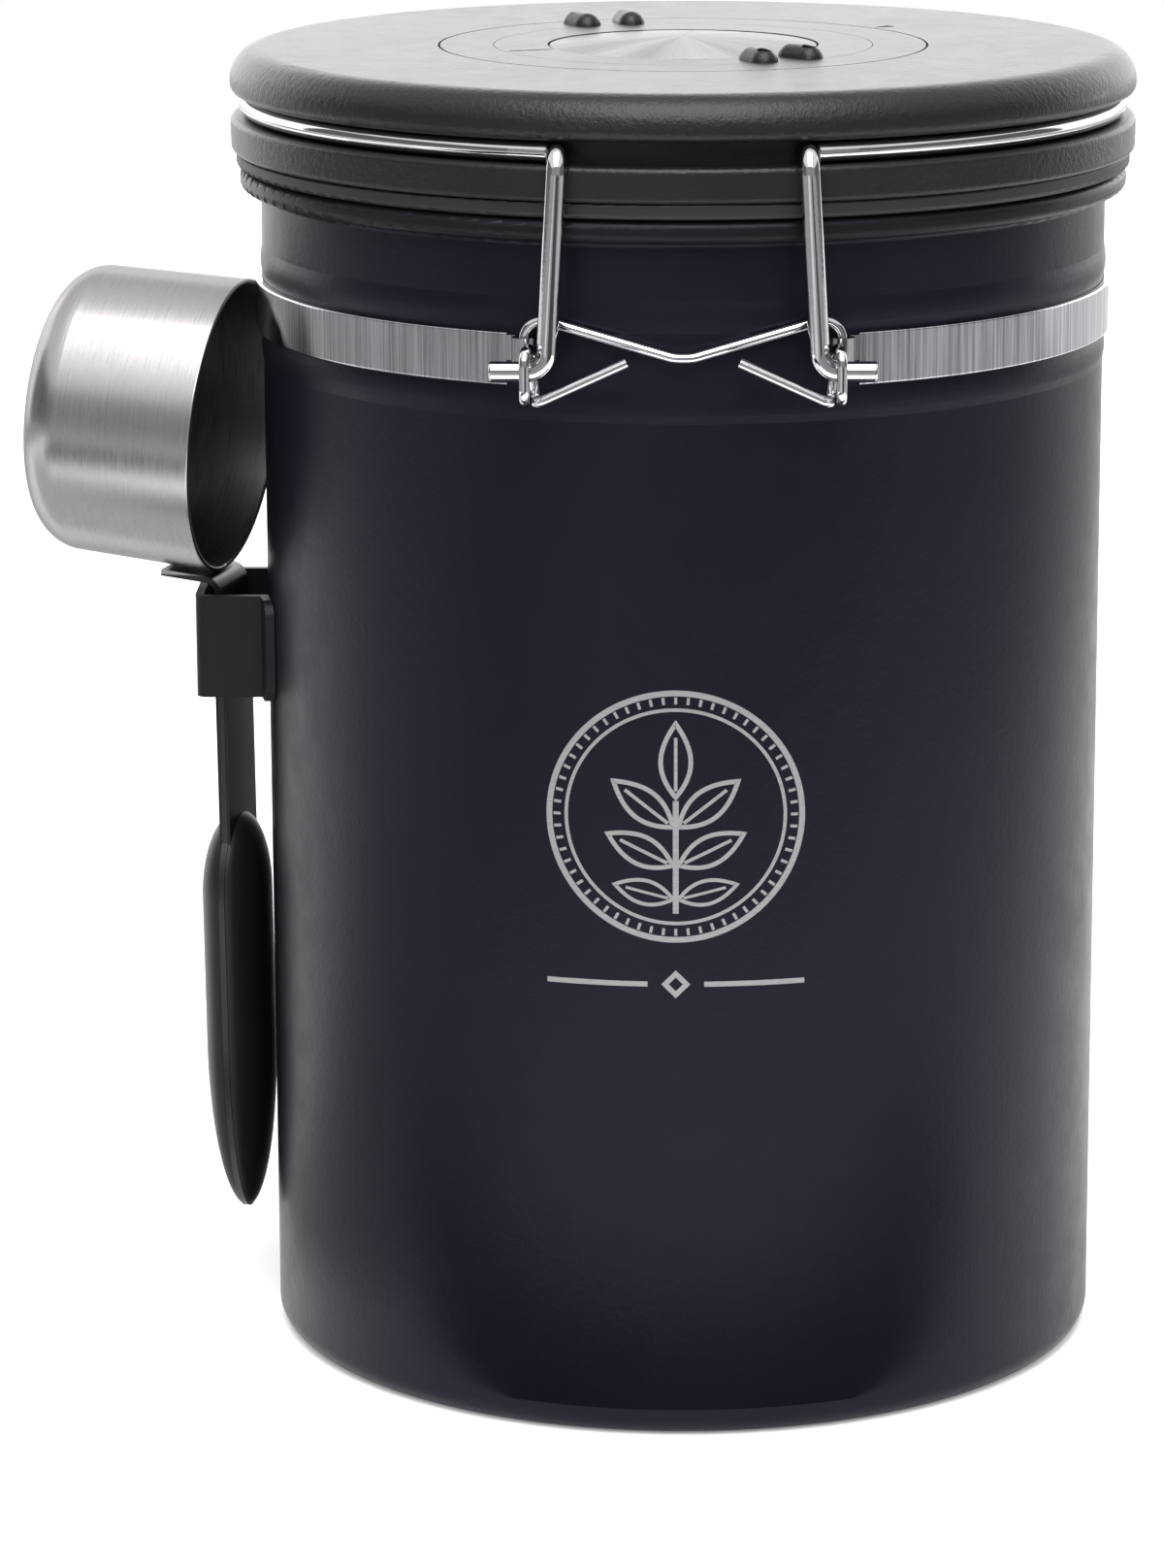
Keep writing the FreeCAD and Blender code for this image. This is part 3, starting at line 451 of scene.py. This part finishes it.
class Finish:
    """A material being built: its node tree, its shader and the coordinates that it reads."""

    def __init__(self, name, colour, metallic, roughness):
        self.material = bpy.data.materials.new(name)
        self.material.use_nodes = True
        self.material.diffuse_color = (*colour, 1.0)
        self.tree = self.material.node_tree
        self.shader = self.tree.nodes["Principled BSDF"]
        self.shader.inputs["Base Color"].default_value = (*colour, 1.0)
        self.shader.inputs["Metallic"].default_value = metallic
        self.shader.inputs["Roughness"].default_value = roughness
        self.colour = colour
        coordinates = self.tree.nodes.new("ShaderNodeTexCoord")
        self.place = coordinates.outputs["Object"]

    def group(self, name, vector, **values):
        """Place a shared group and set its inputs; gives its outputs."""
        node = self.tree.nodes.new("ShaderNodeGroup")
        node.node_tree = shared(name)
        self.tree.links.new(vector, node.inputs["Vector"])
        for key, value in values.items():
            node.inputs[key].default_value = value
        return node.outputs

    def turned_place(self, frame_of_piece):
        """Coordinates moved to a piece's own frame, with Z along its axis."""
        node = self.tree.nodes.new("ShaderNodeMapping")
        node.vector_type = "TEXTURE"
        node.inputs["Location"].default_value = frame_of_piece.translation
        node.inputs["Rotation"].default_value = frame_of_piece.to_euler("XYZ")
        self.tree.links.new(self.place, node.inputs["Vector"])
        return node.outputs[0]

    def gloss_level(self, level):
        """Strength of the gloss on paint or plastic, where 0.5 is common."""
        self.shader.inputs["Specular IOR Level"].default_value = level

    def gloss_tint(self, *tint):
        """Colour of the gloss on paint, or of the reflection along the edge of metal."""
        self.shader.inputs["Specular Tint"].default_value = (*tint, 1.0)

    def tint(self, factor, low, high):
        """Base colour between two shades of the finish's own colour."""
        dark = [share * low for share in self.colour]
        light = [min(1.0, share * high) for share in self.colour]
        return self.blend(factor, dark, light)

    def blend(self, factor, first, second):
        """Base colour between two colours, each one either fixed or a socket."""
        node = self.tree.nodes.new("ShaderNodeMix")
        node.data_type = "RGBA"
        entries = [entry for entry in node.inputs if entry.type == "RGBA"]
        for entry, colour in zip(entries, (first, second)):
            if isinstance(colour, bpy.types.NodeSocket):
                self.tree.links.new(colour, entry)
            else:
                entry.default_value = (*colour, 1.0)
        self.tree.links.new(factor, node.inputs["Factor"])
        result = [entry for entry in node.outputs if entry.type == "RGBA"][0]
        self.tree.links.new(result, self.shader.inputs["Base Color"])
        return result

    def metal(self, mask):
        """Metal where a mask is 1, and not where it is 0."""
        self.tree.links.new(mask, self.shader.inputs["Metallic"])

    def rough(self, mask, low, high):
        """Roughness between two values."""
        self.tree.links.new(spread(self.tree, mask, 0.0, 1.0, low, high), self.shader.inputs["Roughness"])

    def bump(self, height, depth):
        """Surface relief of a depth in metres; later calls lie over earlier ones."""
        node = self.tree.nodes.new("ShaderNodeBump")
        node.inputs["Strength"].default_value = 1.0
        node.inputs["Distance"].default_value = depth
        self.tree.links.new(height, node.inputs["Height"])
        normal = self.shader.inputs["Normal"]
        if normal.is_linked:
            self.tree.links.new(normal.links[0].from_socket, node.inputs["Normal"])
        self.tree.links.new(node.outputs["Normal"], normal)


def give(finish, *names):
    """Put a finish on carried-over solids."""
    for name in names:
        mesh = NODES[name].data
        mesh.materials.clear()
        mesh.materials.append(finish.material)


def powder_coat(name, colour, roughness, sheen=(1.0, 1.0, 1.0)):
    """Sprayed and baked paint, with a fine grain."""
    finish = Finish(name, colour, metallic=0.0, roughness=roughness)
    finish.gloss_level(0.16)
    finish.gloss_tint(*sheen)
    grain = finish.group("grain", finish.place, Scale=2300.0)
    marks = finish.group("smudge", finish.place)
    finish.tint(grain["Mottle"], low=0.92, high=1.10)
    finish.rough(marks["Mask"], low=roughness - 0.03, high=roughness + 0.05)
    finish.bump(grain["Height"], depth=0.05 * MM)
    return finish


def moulded_plastic(name, colour, roughness, scale=2800.0, depth=0.13 * MM):
    """Black plastic with the grain of its mould."""
    finish = Finish(name, colour, metallic=0.0, roughness=roughness)
    finish.gloss_level(0.28)
    grain = finish.group("grain", finish.place, Scale=scale)
    marks = finish.group("smudge", finish.place)
    finish.tint(grain["Mottle"], low=0.94, high=1.06)
    finish.rough(marks["Mask"], low=roughness - 0.01, high=roughness + 0.02)
    finish.bump(grain["Height"], depth)
    return finish


def seal_rubber(name, colour):
    """Dull silicone."""
    finish = Finish(name, colour, metallic=0.0, roughness=0.55)
    grain = finish.group("grain", finish.place, Scale=5200.0)
    finish.tint(grain["Mottle"], low=0.9, high=1.1)
    finish.rough(grain["Mottle"], low=0.48, high=0.6)
    finish.bump(grain["Height"], depth=0.008 * MM)
    return finish


def painted_recess_shade(name, colour):
    """Painted shade: flat black for the inside of a narrow recess, which no light reaches."""
    finish = Finish(name, colour, metallic=0.0, roughness=0.8)
    finish.gloss_level(0.05)
    grain = finish.group("grain", finish.place, Scale=4200.0)
    finish.tint(grain["Mottle"], low=0.5, high=1.1)
    finish.bump(grain["Height"], depth=0.02 * MM)
    return finish


def filter_felt(name, colour):
    """Pressed fibres."""
    finish = Finish(name, colour, metallic=0.0, roughness=0.9)
    fibres = noise_node(finish.tree, finish.place, 1800.0, detail=5.0, rough=0.7)
    finish.tint(fibres, low=0.75, high=1.15)
    finish.rough(fibres, low=0.85, high=0.98)
    finish.bump(fibres, depth=0.2 * MM)
    return finish


def polished_band(name, colour):
    """Mirror steel with fine streaks across the band."""
    finish = Finish(name, colour, metallic=1.0, roughness=0.1)
    marks = finish.group("turned_brush", finish.place, Around=150.0, Along=30.0)
    finish.tint(marks["Scratch"], low=0.40, high=1.36)
    finish.rough(marks["Band"], low=0.06, high=0.18)
    finish.bump(marks["Scratch"], depth=0.006 * MM)
    return finish


def plated_wire(name, colour):
    """Bright plated wire, duller where it is handled."""
    finish = Finish(name, colour, metallic=1.0, roughness=0.08)
    finish.gloss_tint(0.7, 0.7, 0.7)
    grain = finish.group("grain", finish.place, Scale=1500.0)
    marks = finish.group("smudge", finish.place)
    finish.tint(marks["Mask"], low=1.02, high=0.9)
    finish.rough(marks["Mask"], low=0.05, high=0.15)
    finish.bump(grain["Height"], depth=0.006 * MM)
    return finish


def cup_frame():
    """Where the middle of the cup's mouth is, and how the cup is turned, with Z along its axis."""
    twist = Matrix.Translation(SCOOP_PLACE) @ Matrix.Rotation(math.pi - SCOOP_TWIST, 4, "Z")
    lean = Matrix.Rotation(SCOOP_LEAN, 4, "Y") @ Matrix.Translation(-LEAN_PIVOT)
    tilt = Matrix.Translation(CUP_PLACE) @ Matrix.Rotation(math.pi / 2 - CUP_TILT, 4, "Y")
    return twist @ Matrix.Translation(LEAN_PIVOT) @ lean @ tilt


def brushed_cup(name, colour):
    """Steel brushed round the cup's own axis."""
    finish = Finish(name, colour, metallic=1.0, roughness=0.3)
    finish.gloss_tint(0.34, 0.34, 0.34)
    marks = finish.group("turned_brush", finish.turned_place(cup_frame()), Around=2.2, Along=9000.0)
    smudge = finish.group("smudge", finish.place)
    finish.tint(marks["Scratch"], low=0.90, high=1.08)
    finish.rough(marks["Scratch"], low=0.24, high=0.34)
    finish.bump(marks["Scratch"], depth=0.0016 * MM)
    finish.bump(smudge["Mask"], depth=0.004 * MM)
    return finish


def sunburst_cap(name, colour):
    """Steel brushed outwards from the middle of the valve's cap."""
    finish = Finish(name, colour, metallic=1.0, roughness=0.25)
    finish.gloss_tint(0.3, 0.3, 0.3)
    marks = finish.group("turned_brush", finish.place, Around=34.0, Along=30.0)
    finish.tint(marks["Band"], low=0.72, high=1.06)
    finish.rough(marks["Scratch"], low=0.2, high=0.34)
    finish.bump(marks["Scratch"], depth=0.006 * MM)
    return finish


def brushed_strip(name, colour, cover):
    """Steel strip brushed along its length, and covered with plastic below the top of the grip."""
    finish = Finish(name, colour, metallic=1.0, roughness=0.3)
    marks = finish.group("straight_brush", finish.place, Stretch=(6000.0, 6000.0, 90.0))
    steel = finish.tint(marks["Band"], low=0.9, high=1.05)
    finish.rough(marks["Scratch"], low=0.22, high=0.40)
    finish.bump(marks["Scratch"], depth=0.004 * MM)
    height = split(finish.tree, finish.place)["Z"]
    bare = spread(finish.tree, height, GRIP_TOP, GRIP_TOP + GRIP_FADE)
    finish.metal(bare)
    finish.blend(bare, cover, steel)
    return finish


def etched_steel(name, colour):
    """Steel laid bare by etching: dull, with faint brush marks."""
    finish = Finish(name, colour, metallic=0.55, roughness=0.45)
    marks = finish.group("straight_brush", finish.place, Stretch=(500.0, 500.0, 9000.0))
    finish.tint(marks["Scratch"], low=0.74, high=1.18)
    finish.rough(marks["Band"], low=0.40, high=0.52)
    finish.bump(marks["Scratch"], depth=0.004 * MM)
    return finish


def bare_inside(tree, place):
    """Mask of the can's inside: within its wall, and above the base's corner or on the base's upper face."""
    x, y, z = split(tree, place)
    within = spread(tree, from_axis(tree, x, y), INSIDE_RADIUS, INSIDE_RADIUS + STEEL_FADE, 1.0, 0.0)
    wall = spread(tree, z, CORNER_TOP, CORNER_TOP + STEEL_FADE)
    geometry = tree.nodes.new("ShaderNodeNewGeometry")
    facing = split(tree, geometry.outputs["True Normal"])["Z"]
    floor = spread(tree, facing, *FLOOR_FACING)
    return math_node(tree, "MULTIPLY", within, math_node(tree, "MAXIMUM", wall, floor))


def can_finish(name, colour, rim, steel):
    """Powder coat outside, a blacker rolled rim, and bare steel inside."""
    finish = powder_coat(name, colour, roughness=0.36, sheen=(0.78, 0.78, 1.0))
    painted = finish.shader.inputs["Base Color"].links[0].from_socket
    height = split(finish.tree, finish.place)["Z"]
    rolled = spread(finish.tree, height, RIM_LOW, RIM_LOW + RIM_FADE)
    outside = finish.blend(rolled, painted, rim)
    bare = bare_inside(finish.tree, finish.place)
    finish.blend(bare, outside, steel)
    finish.metal(bare)
    return finish


def place_at(piece, place, turn=0.0, size=1.0):
    """Put a flat piece at (x, z), turned in the plane of the front, and make that its own shape."""
    piece.matrix_basis = (
        Matrix.Translation((place[0], 0.0, place[1]))
        @ Matrix.Rotation(turn, 4, "Y")
        @ Matrix.Scale(size, 4)
        @ piece.matrix_basis
    )
    select_only(piece)
    bpy.ops.object.transform_apply(location=True, rotation=True, scale=True)
    return piece


def copy_of(piece):
    """A copy with a mesh of its own."""
    twin = piece.copy()
    twin.data = piece.data.copy()
    bpy.context.collection.objects.link(twin)
    return twin


def border_only(width):
    """Keep only a border of the active flat piece."""
    bpy.ops.object.mode_set(mode="EDIT")
    bpy.ops.mesh.select_all(action="SELECT")
    bpy.ops.mesh.dissolve_limited(angle_limit=STRAIGHT_ANGLE)
    bpy.ops.mesh.select_all(action="SELECT")
    bpy.ops.mesh.inset(thickness=width, depth=0.0)
    bpy.ops.mesh.delete(type="FACE")
    bpy.ops.object.mode_set(mode="OBJECT")


def ring_line(radius, width):
    """Circle of the ornament."""
    deselect_all()
    bpy.ops.mesh.primitive_circle_add(
        vertices=RING_STEPS, radius=radius, fill_type="NGON", rotation=(math.pi / 2, 0, 0))
    border_only(width)
    return place_at(bpy.context.object, (0.0, 0.0))


def bar(width, length, place, turn=0.0, cuts=BAR_CUTS):
    """Straight line of the ornament, cut up so that it can follow the can."""
    deselect_all()
    bpy.ops.mesh.primitive_plane_add(size=1.0, rotation=(math.pi / 2, 0, 0))
    piece = bpy.context.object
    piece.scale = (width, length, 1.0)
    bpy.ops.object.mode_set(mode="EDIT")
    bpy.ops.mesh.select_all(action="SELECT")
    bpy.ops.mesh.subdivide(number_cuts=cuts)
    bpy.ops.object.mode_set(mode="OBJECT")
    return place_at(piece, place, turn)


def leaf_line(length, half_width, width):
    """Outline of a pointed leaf that stands on the origin."""
    deselect_all()
    bpy.ops.curve.primitive_bezier_curve_add(rotation=(math.pi / 2, 0, 0))
    leaf = bpy.context.object
    leaf.data.dimensions = "2D"
    leaf.data.fill_mode = "BOTH"
    leaf.data.resolution_u = LEAF_STEPS
    spline = leaf.data.splines[0]
    spline.use_cyclic_u = True
    reach = half_width * HANDLE_REACH
    low_bulge, high_bulge = (share * length for share in LEAF_BULGE_SHARES)
    foot, tip = spline.bezier_points
    for point, along in ((foot, 0.0), (tip, length)):
        point.handle_left_type = point.handle_right_type = "FREE"
        point.co = (0.0, along, 0.0)
    foot.handle_right = (reach, low_bulge, 0.0)
    foot.handle_left = (-reach, low_bulge, 0.0)
    tip.handle_left = (reach, high_bulge, 0.0)
    tip.handle_right = (-reach, high_bulge, 0.0)
    bpy.ops.object.convert(target="MESH")
    border_only(width)
    return place_at(bpy.context.object, (0.0, 0.0))


def tick_ring(radius, width, length):
    """Short marks set round a circle: one is drawn and spun."""
    piece = bar(width, length, (0.0, radius), cuts=TICK_CUTS)
    bpy.ops.object.mode_set(mode="EDIT")
    bpy.ops.mesh.select_all(action="SELECT")
    bpy.ops.mesh.spin(steps=TICK_COUNT, dupli=True, angle=math.tau, center=(0, 0, 0), axis=(0, 1, 0))
    bpy.ops.mesh.select_all(action="SELECT")
    bpy.ops.mesh.remove_doubles(threshold=MERGE_GAP)
    bpy.ops.object.mode_set(mode="OBJECT")
    return piece


def sprig(length, line):
    """Stem with a leaf at its top and pairs of leaves below, each leaf with its middle vein."""
    pattern = leaf_line(length, LEAF_HALF_SHARE * length, LEAF_LINE_SHARE * line)
    leaves = [TOP_LEAF]
    for height, degrees, size in LEAF_PAIRS:
        leaves += [(height, degrees, size), (height, -degrees, size)]
    pieces = []
    for height, degrees, size in leaves:
        vein = bar(VEIN_LINE_SHARE * line, VEIN_SHARE * length, (0.0, VEIN_MIDDLE_SHARE * length))
        for piece in (copy_of(pattern), vein):
            pieces.append(place_at(piece, (0.0, height * length), math.radians(degrees), size))
    bpy.data.objects.remove(pattern)
    pieces.append(bar(line, STEM_SHARE * length, (0.0, STEM_MIDDLE_SHARE * length)))
    return pieces


def ring_with_sprig(radius, line):
    """Two circles with marks between them, and a sprig inside."""
    pieces = [
        ring_line(radius, line),
        ring_line(INNER_RING_SHARE * radius, INNER_RING_LINE_SHARE * line),
        tick_ring(TICK_RING_SHARE * radius, TICK_LINE_SHARE * line, TICK_LENGTH_SHARE * radius),
    ]
    return pieces + sprig(LEAF_SHARE * radius, line)


def divider(half, line):
    """Two lines with a small lozenge between them."""
    side = LOZENGE_SHARE * half
    lozenge = bar(side, side, (0.0, 0.0), math.pi / 4)
    border_only(line)
    pieces = [lozenge]
    for way in (-1, 1):
        pieces.append(bar(DASH_SHARE * half, line, (way * DASH_MIDDLE_SHARE * half, 0.0)))
    return pieces


def wrap_on_can(piece, rise):
    """Lay a flat piece on the can's front, a little proud of the paint, and give it thickness."""
    select_only(piece)
    bpy.ops.transform.translate(value=(0.0, WRAP_START, 0.0))
    bpy.ops.object.transform_apply(location=True, rotation=True, scale=True)
    wrap = piece.modifiers.new("on_can", "SHRINKWRAP")
    wrap.target = NODES["can_body"]
    wrap.wrap_method = "PROJECT"
    wrap.use_project_y = True
    wrap.use_positive_direction = True
    wrap.use_negative_direction = False
    bpy.ops.object.modifier_apply(modifier=wrap.name)
    bpy.ops.transform.translate(value=(0.0, -rise, 0.0))
    bpy.ops.object.transform_apply(location=True, rotation=True, scale=True)
    thick = piece.modifiers.new("thickness", "SOLIDIFY")
    thick.thickness = 2 * rise
    thick.offset = -1.0
    bpy.ops.object.modifier_apply(modifier=thick.name)
    bpy.ops.object.shade_smooth_by_angle(angle=SMOOTH_ANGLE)


def join_pieces(pieces, name):
    """One piece made of several."""
    deselect_all()
    for piece in pieces:
        piece.select_set(True)
    bpy.context.view_layer.objects.active = pieces[0]
    bpy.ops.object.join()
    whole = bpy.context.object
    whole.name = name
    whole.data.name = name
    return whole


def slot_shade_piece(name, corners, azimuth, span, half_width, body, finish):
    """Thin black piece on the lid's top, laid along a radius, with softened edges, that paints the shade
    inside a recess.
    """
    near, far = span
    deselect_all()
    bpy.ops.mesh.primitive_cylinder_add(
        vertices=corners, radius=1.0, depth=2 * SLOT_SHADE_RISE, rotation=(0.0, 0.0, math.pi / 2))
    mark = bpy.context.object
    mark.name = name
    mark.data.name = name
    bpy.ops.object.transform_apply(location=False, rotation=True, scale=False)
    mark.scale = ((far - near) / 2, half_width, 1.0)
    mark.location = ((far + near) / 2, 0.0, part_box("lid_cover")[1][2])
    mark.matrix_basis = Matrix.Rotation(azimuth - math.pi / 2, 4, "Z") @ mark.matrix_basis
    bpy.ops.object.transform_apply(location=True, rotation=True, scale=True)
    bpy.ops.object.mode_set(mode="EDIT")
    bpy.ops.mesh.select_all(action="SELECT")
    bpy.ops.mesh.bevel(offset=SLOT_SHADE_BEVEL, segments=2)
    bpy.ops.object.mode_set(mode="OBJECT")
    mark.data.materials.append(finish.material)
    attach(mark, body)


def seen_as_backdrop(tree):
    """1 where the camera sees a surface itself, in a reflection or through glass, and 0 for other light."""
    path = tree.nodes.new("ShaderNodeLightPath")
    seen = math_node(tree, "MAXIMUM", path.outputs["Is Camera Ray"], path.outputs["Is Glossy Ray"])
    return math_node(tree, "MAXIMUM", seen, path.outputs["Is Transmission Ray"])


def glowing_material(name, grey):
    """Plain grey material that can give off white light; gives the material and its shader."""
    material = bpy.data.materials.new(name)
    material.use_nodes = True
    shader = material.node_tree.nodes["Principled BSDF"]
    shader.inputs["Base Color"].default_value = (grey, grey, grey, 1.0)
    shader.inputs["Emission Color"].default_value = (1.0, 1.0, 1.0, 1.0)
    return material, shader


def pale_floor(stage):
    """Wide floor that is seen as white and keeps the shadow."""
    deselect_all()
    bpy.ops.mesh.primitive_plane_add(size=2 * stage.floor_half, location=(0, 0, 0))
    floor = bpy.context.object
    floor.name = "studio_floor"
    material, shader = glowing_material("studio_floor_white", FLOOR_GREY)
    shader.inputs["Roughness"].default_value = FLOOR_ROUGHNESS
    tree = material.node_tree
    fill = spread(tree, seen_as_backdrop(tree), 0.0, 1.0, 0.0, stage.floor_fill)
    tree.links.new(fill, shader.inputs["Emission Strength"])
    floor.data.materials.append(material)


def room_light(stage):
    """White to the camera and in reflections, and a plain soft level of light elsewhere."""
    world = bpy.data.worlds.new("studio_room")
    bpy.context.scene.world = world
    world.use_nodes = True
    tree = world.node_tree
    background = tree.nodes["Background"]
    background.inputs["Color"].default_value = (1.0, 1.0, 1.0, 1.0)
    strength = spread(tree, seen_as_backdrop(tree), 0.0, 1.0, stage.ambient, 1.0)
    tree.links.new(strength, background.inputs["Strength"])


def soft_lamp(name, place, width, height, power):
    """Area lamp that faces the object."""
    deselect_all()
    bpy.ops.object.light_add(type="AREA", location=place)
    lamp = bpy.context.object
    lamp.name = name
    lamp.data.shape = "RECTANGLE"
    lamp.data.size = width
    lamp.data.size_y = height
    lamp.data.energy = power
    lamp.visible_camera = False
    lamp.rotation_euler = (LAMP_AIM - Vector(place)).to_track_quat("-Z", "Y").to_euler()


def grey_card(name, place, facing, width, height, level):
    """Card of one even grey that only reflections see."""
    deselect_all()
    bpy.ops.mesh.primitive_plane_add(size=1.0, location=(0, 0, 0))
    card = bpy.context.object
    card.name = name
    card.scale = (width, height, 1.0)
    card.rotation_euler = Vector(facing).to_track_quat("Z", "Y").to_euler()
    card.location = place
    material, shader = glowing_material(name + "_grey", 0.0)
    shader.inputs["Specular IOR Level"].default_value = 0.0
    shader.inputs["Emission Strength"].default_value = level
    card.data.materials.append(material)
    card.visible_camera = False
    card.visible_shadow = False
    card.visible_diffuse = False


def photo_camera(stage):
    """Camera at the photograph's viewing angle."""
    deselect_all()
    bpy.ops.object.camera_add(location=stage.camera_place, rotation=(math.pi / 2 - stage.camera_pitch, 0, 0))
    camera = bpy.context.object
    camera.name = "photo_camera"
    camera.data.sensor_width = SENSOR_WIDTH
    camera.data.lens = stage.lens
    camera.data.shift_x = stage.shift_x
    camera.data.shift_y = stage.shift_y
    camera.data.clip_start = CLIP_START
    camera.data.clip_end = CLIP_END
    bpy.context.scene.camera = camera


class CANISTER_OT_can(bpy.types.Operator):
    """Paint the can"""

    bl_idname = "canister.can"
    bl_label = "Can"

    def execute(self, context):
        finish = context.scene.canister_finish
        give(can_finish("can_powder_coat", finish.paint, finish.rubber, finish.steel), "can_body")
        return {"FINISHED"}


class CANISTER_OT_emblem(bpy.types.Operator):
    """Etch a ring with a leaf sprig, and a divider below it, on the can's front"""

    bl_idname = "canister.emblem"
    bl_label = "Emblem"

    def execute(self, context):
        emblem = context.scene.canister_emblem
        above = ring_with_sprig(emblem.radius, emblem.line)
        below = divider(emblem.radius, DIVIDER_LINE_SHARE * emblem.line)
        for pieces, height in ((above, emblem.middle_z), (below, emblem.divider_z)):
            for piece in pieces:
                place_at(piece, (emblem.middle_x, height))
        for layer, piece in enumerate(above + below):
            wrap_on_can(piece, emblem.rise * (1 + LAYER_STEP_SHARE * layer))
        whole = join_pieces(above + below, "front_emblem")
        finish = etched_steel("emblem_etched_steel", context.scene.canister_finish.etched)
        whole.data.materials.clear()
        whole.data.materials.append(finish.material)
        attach(whole, "canister")
        return {"FINISHED"}


class CANISTER_OT_metalwork(bpy.types.Operator):
    """Finish the band, its latch plate and the wires"""

    bl_idname = "canister.metalwork"
    bl_label = "Band and wires"

    def execute(self, context):
        finish = context.scene.canister_finish
        polished = polished_band("band_polished_steel", finish.steel)
        give(polished, "clamp_band", "latch_bracket", "latch_rivets")
        give(plated_wire("wire_plating", finish.wire), "bail_wire", "hinge_eye_wire", "latch_clip")
        return {"FINISHED"}


class CANISTER_OT_lid(bpy.types.Operator):
    """Finish the lid, its gasket and its dials"""

    bl_idname = "canister.lid"
    bl_label = "Lid"

    def execute(self, context):
        finish = context.scene.canister_finish
        plastic = moulded_plastic("lid_moulded_plastic", finish.plastic, roughness=0.36)
        give(plastic, "lid_cover", "lid_base", "month_dial", "day_dial")
        give(seal_rubber("gasket_silicone", finish.rubber), "lid_gasket")
        return {"FINISHED"}


class CANISTER_OT_marks(bpy.types.Operator):
    """Lay black pieces that paint the shade inside the index slot on the inner dial and the pointer's recess
    on the lid
    """

    bl_idname = "canister.marks"
    bl_label = "Dial marks"

    def execute(self, context):
        # Flat black pieces paint the shade inside the index slot and the pointer's recess.
        black = painted_recess_shade("mark_black", context.scene.canister_finish.rubber)
        slot_shade_piece(
            "dial_index_slot", INDEX_CORNERS, INDEX_AZIMUTH, INDEX_SPAN, INDEX_HALF, "month_dial", black)
        slot_shade_piece(
            "lid_pointer", POINTER_CORNERS, POINTER_AZIMUTH, POINTER_SPAN, POINTER_HALF, "lid", black)
        return {"FINISHED"}


class CANISTER_OT_valve(bpy.types.Operator):
    """Finish the valve under the lid and its bright cap"""

    bl_idname = "canister.valve"
    bl_label = "Valve"

    def execute(self, context):
        finish = context.scene.canister_finish
        lighter = [share * VALVE_LIGHTER for share in finish.plastic]
        give(sunburst_cap("cap_brushed_steel", finish.cap), "centre_cap")
        give(moulded_plastic("valve_plastic", lighter, roughness=0.42), "valve_body", "valve_retainer")
        give(seal_rubber("valve_silicone", finish.rubber), "valve_oring", "valve_disc")
        give(filter_felt("valve_felt", finish.felt), "valve_filter")
        return {"FINISHED"}


class CANISTER_OT_scoop(bpy.types.Operator):
    """Finish the scoop and its holder"""

    bl_idname = "canister.scoop"
    bl_label = "Scoop"

    def execute(self, context):
        finish = context.scene.canister_finish
        give(brushed_cup("cup_brushed_steel", finish.cup), "scoop_cup")
        give(brushed_strip("strip_brushed_steel", finish.steel, finish.grip), "scoop_handle")
        smooth = moulded_plastic("grip_plastic", finish.grip, roughness=0.42, scale=3600.0, depth=0.01 * MM)
        give(smooth, "grip_outer_scale", "grip_inner_scale")
        give(powder_coat("holder_paint", finish.grip, roughness=0.45), "scoop_holder")
        return {"FINISHED"}


class CANISTER_OT_stage(bpy.types.Operator):
    """Set up the floor, the lamps, the cards and the camera"""

    bl_idname = "canister.stage"
    bl_label = "Stage"

    def execute(self, context):
        stage = context.scene.canister_stage
        pale_floor(stage)
        room_light(stage)
        for name, place, width, height, power in LAMPS:
            soft_lamp(name, place, width, height, getattr(stage, power))
        for name, place, facing, width, height, level in STANDING_CARDS:
            grey_card(name, place, facing, width, height, level)
        for name, place, width, depth, level in LYING_CARDS:
            grey_card(name, place, (0, 0, 1), width, depth, level)
        photo_camera(stage)
        context.scene.view_settings.view_transform = "Standard"
        return {"FINISHED"}


OPERATORS = (
    CANISTER_OT_can,
    CANISTER_OT_emblem,
    CANISTER_OT_metalwork,
    CANISTER_OT_lid,
    CANISTER_OT_marks,
    CANISTER_OT_valve,
    CANISTER_OT_scoop,
    CANISTER_OT_stage,
)


class CANISTER_PT_panel(bpy.types.Panel):
    """Steps that finish the canister"""

    bl_idname = "CANISTER_PT_panel"
    bl_label = "Coffee canister"
    bl_space_type = "VIEW_3D"
    bl_region_type = "UI"
    bl_category = "Canister"

    def draw(self, context):
        for operator in OPERATORS:
            self.layout.operator(operator.bl_idname)


CLASSES = (CanisterFinish, CanisterEmblem, CanisterStage) + OPERATORS + (CANISTER_PT_panel,)


def register():
    for cls in CLASSES:
        bpy.utils.register_class(cls)
    bpy.types.Scene.canister_finish = PointerProperty(type=CanisterFinish)
    bpy.types.Scene.canister_emblem = PointerProperty(type=CanisterEmblem)
    bpy.types.Scene.canister_stage = PointerProperty(type=CanisterStage)


def unregister():
    del bpy.types.Scene.canister_finish
    del bpy.types.Scene.canister_emblem
    del bpy.types.Scene.canister_stage
    for cls in reversed(CLASSES):
        bpy.utils.unregister_class(cls)


def main():
    register()
    bpy.ops.canister.can()
    bpy.ops.canister.emblem()
    bpy.ops.canister.metalwork()
    bpy.ops.canister.lid()
    bpy.ops.canister.marks()
    bpy.ops.canister.valve()
    bpy.ops.canister.scoop()
    bpy.ops.canister.stage()


if __name__ == "__main__":
    main()
